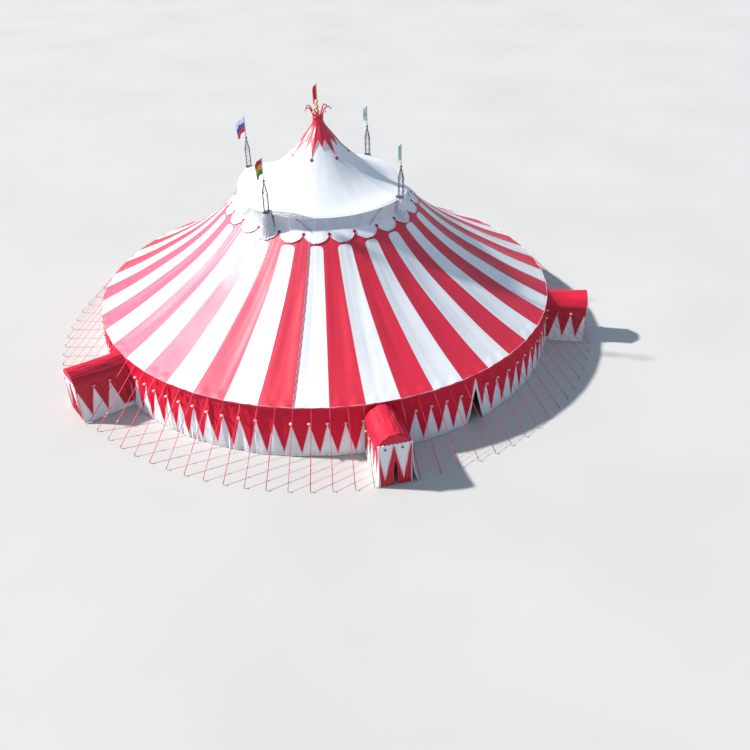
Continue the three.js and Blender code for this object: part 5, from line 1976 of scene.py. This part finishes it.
def make_strap_hardware(directions, lines):
    """A ratchet buckle on each strap, and a stake with a ring at its foot."""
    steel = finish_of(steel_paint)
    slope = math.atan2(STRAP_HEAD - STRAP_FOOT, STAKE_RADIUS - EAVE_RADIUS)
    outline = ((0.06, -0.02), (0.075, -0.008), (0.075, 0.012), (0.05, 0.03), (0.025, 0.04))
    points, faces = turned_body(outline, 4)
    buckle = Piece()
    buckle.add(turned(points, 45), faces)
    buckles = copies("strap_buckles", buckle.make("buckle_pattern"), [line[6] for line in lines],
                     outward(directions, math.degrees(slope)), steel, (1.5, 1.0, 1.0))
    outline = ((0.018, 0.0), (0.028, 0.015), (0.028, 0.26), (0.04, 0.27), (0.04, 0.292),
               (0.02, 0.3))
    stakes = copies("stakes", turned_pattern("stake_pattern", outline, 8),
                    polar(directions, STAKE_RADIUS, 0.0), outward(directions), steel)
    rings = copies("stake_rings", ring_pattern("ring_pattern", 0.05),
                   polar(directions, STAKE_RADIUS - 0.01, 0.19), outward(directions), steel)
    made = joined("stakes_and_buckles", [stakes, buckles, rings])
    settle(made, "galvanised_steel")


def dress_frame():
    """Better finishes for the rigid nodes that are shown as they are."""
    kept = {f"side_poles_{i}": steel_paint for i in range(1, 5)}
    kept["king_pole_cradle"] = steel_paint
    for side in PORCHES:
        kept[f"porch_{side}_frame"] = white_paint
    for name, maker in kept.items():
        for slot in frame["nodes"][name].material_slots:
            slot.material = finish_of(maker)


CAMERA_PLACE = (-6.15519, -33.58367, 19.848)
CAMERA_YAW = 0.0256 + math.radians(12.73)
CAMERA_PITCH = 0.6008
CAMERA_ROLL = -0.0170
CAMERA_LENS = 37.6
CAMERA_SENSOR = 36.0
CAMERA_REACH = 1000.0
SUN_DIRECTION = 156.0
SUN_HEIGHT = 39.0
SUN_ENERGY = 5.6
SUN_WIDTH = 2.5
SUN_COLOUR = (1.0, 0.96, 0.91)
SKY_COLOUR = (0.6, 0.78, 1.0, 1.0)
SKY_STRENGTH = 0.5
FLOOR_REACH = 400.0


def floor_finish():
    """Pale, slightly uneven floor."""
    finish = Finish("studio_floor")
    tint = finish.spots(0.05, 2.0)
    colour = finish.mix(tint * 0.3, colour_of("floor"), (0.82, 0.82, 0.82))
    relief = finish.spots(3.0, 3.0)
    return finish.done(colour, 0.85 + tint * 0.05, relief, 0.003)


def make_stage():
    """Pale floor, one soft sun, an even sky and the camera."""
    mesh = bpy.data.meshes.new("studio_floor")
    signs = ((-1, -1), (1, -1), (1, 1), (-1, 1))
    corners = [(x * FLOOR_REACH, y * FLOOR_REACH, 0) for x, y in signs]
    mesh.from_pydata(corners, [], [(0, 1, 2, 3)])
    mesh.materials.append(finish_of(floor_finish))
    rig.stage(shown("studio_floor", mesh))
    lamp = bpy.data.lights.new("sun", "SUN")
    lamp.energy = SUN_ENERGY
    lamp.angle = math.radians(SUN_WIDTH)
    lamp.color = SUN_COLOUR
    height = math.radians(SUN_HEIGHT)
    towards = Vector(polar(SUN_DIRECTION, math.cos(height), math.sin(height)).tolist())
    shown("sun", lamp).rotation_euler = towards.to_track_quat("Z", "Y").to_euler()
    world = bpy.data.worlds.new("studio")
    world.use_nodes = True
    sky = world.node_tree.nodes["Background"]
    sky.inputs["Color"].default_value = SKY_COLOUR
    sky.inputs["Strength"].default_value = SKY_STRENGTH
    bpy.context.scene.world = world
    bpy.context.scene.view_settings.view_transform = "Standard"
    place_camera()


def place_camera():
    """The camera at the photograph's viewpoint."""
    sin_yaw, cos_yaw = math.sin(CAMERA_YAW), math.cos(CAMERA_YAW)
    cos_pitch = math.cos(CAMERA_PITCH)
    forward = Vector((sin_yaw * cos_pitch, cos_yaw * cos_pitch, -math.sin(CAMERA_PITCH)))
    level = Vector((cos_yaw, -sin_yaw, 0.0))
    upright = level.cross(forward)
    right = math.cos(CAMERA_ROLL) * level + math.sin(CAMERA_ROLL) * upright
    up = math.cos(CAMERA_ROLL) * upright - math.sin(CAMERA_ROLL) * level
    data = bpy.data.cameras.new("camera")
    data.lens = CAMERA_LENS
    data.sensor_width = CAMERA_SENSOR
    data.clip_end = CAMERA_REACH
    camera = shown("camera", data)
    turn = Matrix((right, up, -forward)).transposed().to_4x4()
    camera.matrix_world = Matrix.Translation(CAMERA_PLACE) @ turn
    bpy.context.scene.camera = camera


class Step:
    """What every operator here does: it calls its makers in turn."""

    makers = ()

    def execute(self, context):
        for maker in self.makers:
            maker()
        return {"FINISHED"}


class TENT_OT_canopy(Step, bpy.types.Operator):
    """Make the striped canopy, its piping and its laced seams"""

    bl_idname = "tent.canopy"
    bl_label = "Canopy"
    makers = (make_canopy, make_eave_piping, make_laced_seams)


class TENT_OT_collar(Step, bpy.types.Operator):
    """Make the scalloped collar with its piping and dots"""

    bl_idname = "tent.collar"
    bl_label = "Petal collar"
    makers = (make_collar,)


class TENT_OT_cupola(Step, bpy.types.Operator):
    """Make the cupola and the ventilation band under it"""

    bl_idname = "tent.cupola"
    bl_label = "Cupola"
    makers = (make_cupola, make_band)


class TENT_OT_cap(Step, bpy.types.Operator):
    """Make the star cap, the crown and the king pole"""

    bl_idname = "tent.cap"
    bl_label = "Cap and crown"
    makers = (make_cap, make_crown, make_king_pole)


class TENT_OT_masts(Step, bpy.types.Operator):
    """Make the lattice masts and the boots round them"""

    bl_idname = "tent.masts"
    bl_label = "Masts and boots"
    makers = (make_masts, make_boots)


class TENT_OT_flags(Step, bpy.types.Operator):
    """Make the limp flags on the masts and at the apex"""

    bl_idname = "tent.flags"
    bl_label = "Flags"
    makers = (make_flags,)


class TENT_OT_walls(Step, bpy.types.Operator):
    """Make the side wall with its doorway, gates and balls"""

    bl_idname = "tent.walls"
    bl_label = "Side wall"
    makers = (make_walls,)


class TENT_OT_porches(Step, bpy.types.Operator):
    """Make the three barrel porches"""

    bl_idname = "tent.porches"
    bl_label = "Porches"
    makers = (make_porches,)


class TENT_OT_straps(Step, bpy.types.Operator):
    """Make the guy straps, their buckles and their stakes"""

    bl_idname = "tent.straps"
    bl_label = "Guy straps"
    makers = (make_straps,)


class TENT_OT_frame(Step, bpy.types.Operator):
    """Give the poles, beams and hoops their finishes"""

    bl_idname = "tent.frame"
    bl_label = "Poles and hoops"
    makers = (dress_frame,)


class TENT_OT_stage(Step, bpy.types.Operator):
    """Make the floor, the light and the camera"""

    bl_idname = "tent.stage"
    bl_label = "Stage"
    makers = (make_stage,)


STEPS = (TENT_OT_stage, TENT_OT_canopy, TENT_OT_collar, TENT_OT_cupola, TENT_OT_cap, TENT_OT_masts,
         TENT_OT_flags, TENT_OT_walls, TENT_OT_porches, TENT_OT_straps, TENT_OT_frame)


class TENT_PT_panel(bpy.types.Panel):
    """Lists the tent's sizes, its colours and the pieces that can be made"""

    bl_idname = "TENT_PT_panel"
    bl_label = "Big Top"
    bl_space_type = "VIEW_3D"
    bl_region_type = "UI"
    bl_category = "Big Top"

    def draw(self, context):
        for group in (context.scene.tent_sizes, context.scene.tent_colours):
            box = self.layout.box()
            for name in group.bl_rna.properties.keys():
                if name not in ("rna_type", "name"):
                    box.prop(group, name)
        for step in STEPS:
            self.layout.operator(step.bl_idname)


CLASSES = (TentSizes, TentColours, *STEPS, TENT_PT_panel)


def register():
    for item in CLASSES:
        bpy.utils.register_class(item)
    bpy.types.Scene.tent_sizes = bpy.props.PointerProperty(type=TentSizes)
    bpy.types.Scene.tent_colours = bpy.props.PointerProperty(type=TentColours)


def unregister():
    del bpy.types.Scene.tent_colours
    del bpy.types.Scene.tent_sizes
    for item in reversed(CLASSES):
        bpy.utils.unregister_class(item)


def plain(box):
    return [[float(value) for value in corner] for corner in box]


def main():
    register()
    for step in STEPS:
        group, name = step.bl_idname.split(".")
        result = getattr(getattr(bpy.ops, group), name)()
        if result != {"FINISHED"}:
            raise RuntimeError(f"{step.bl_label} was not made")
    with open(SIZE_FILE, "w") as out:
        json.dump({"cad": plain(CAD_BOX), "visual": plain(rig.bounds())}, out)


if __name__ == "__main__":
    main()
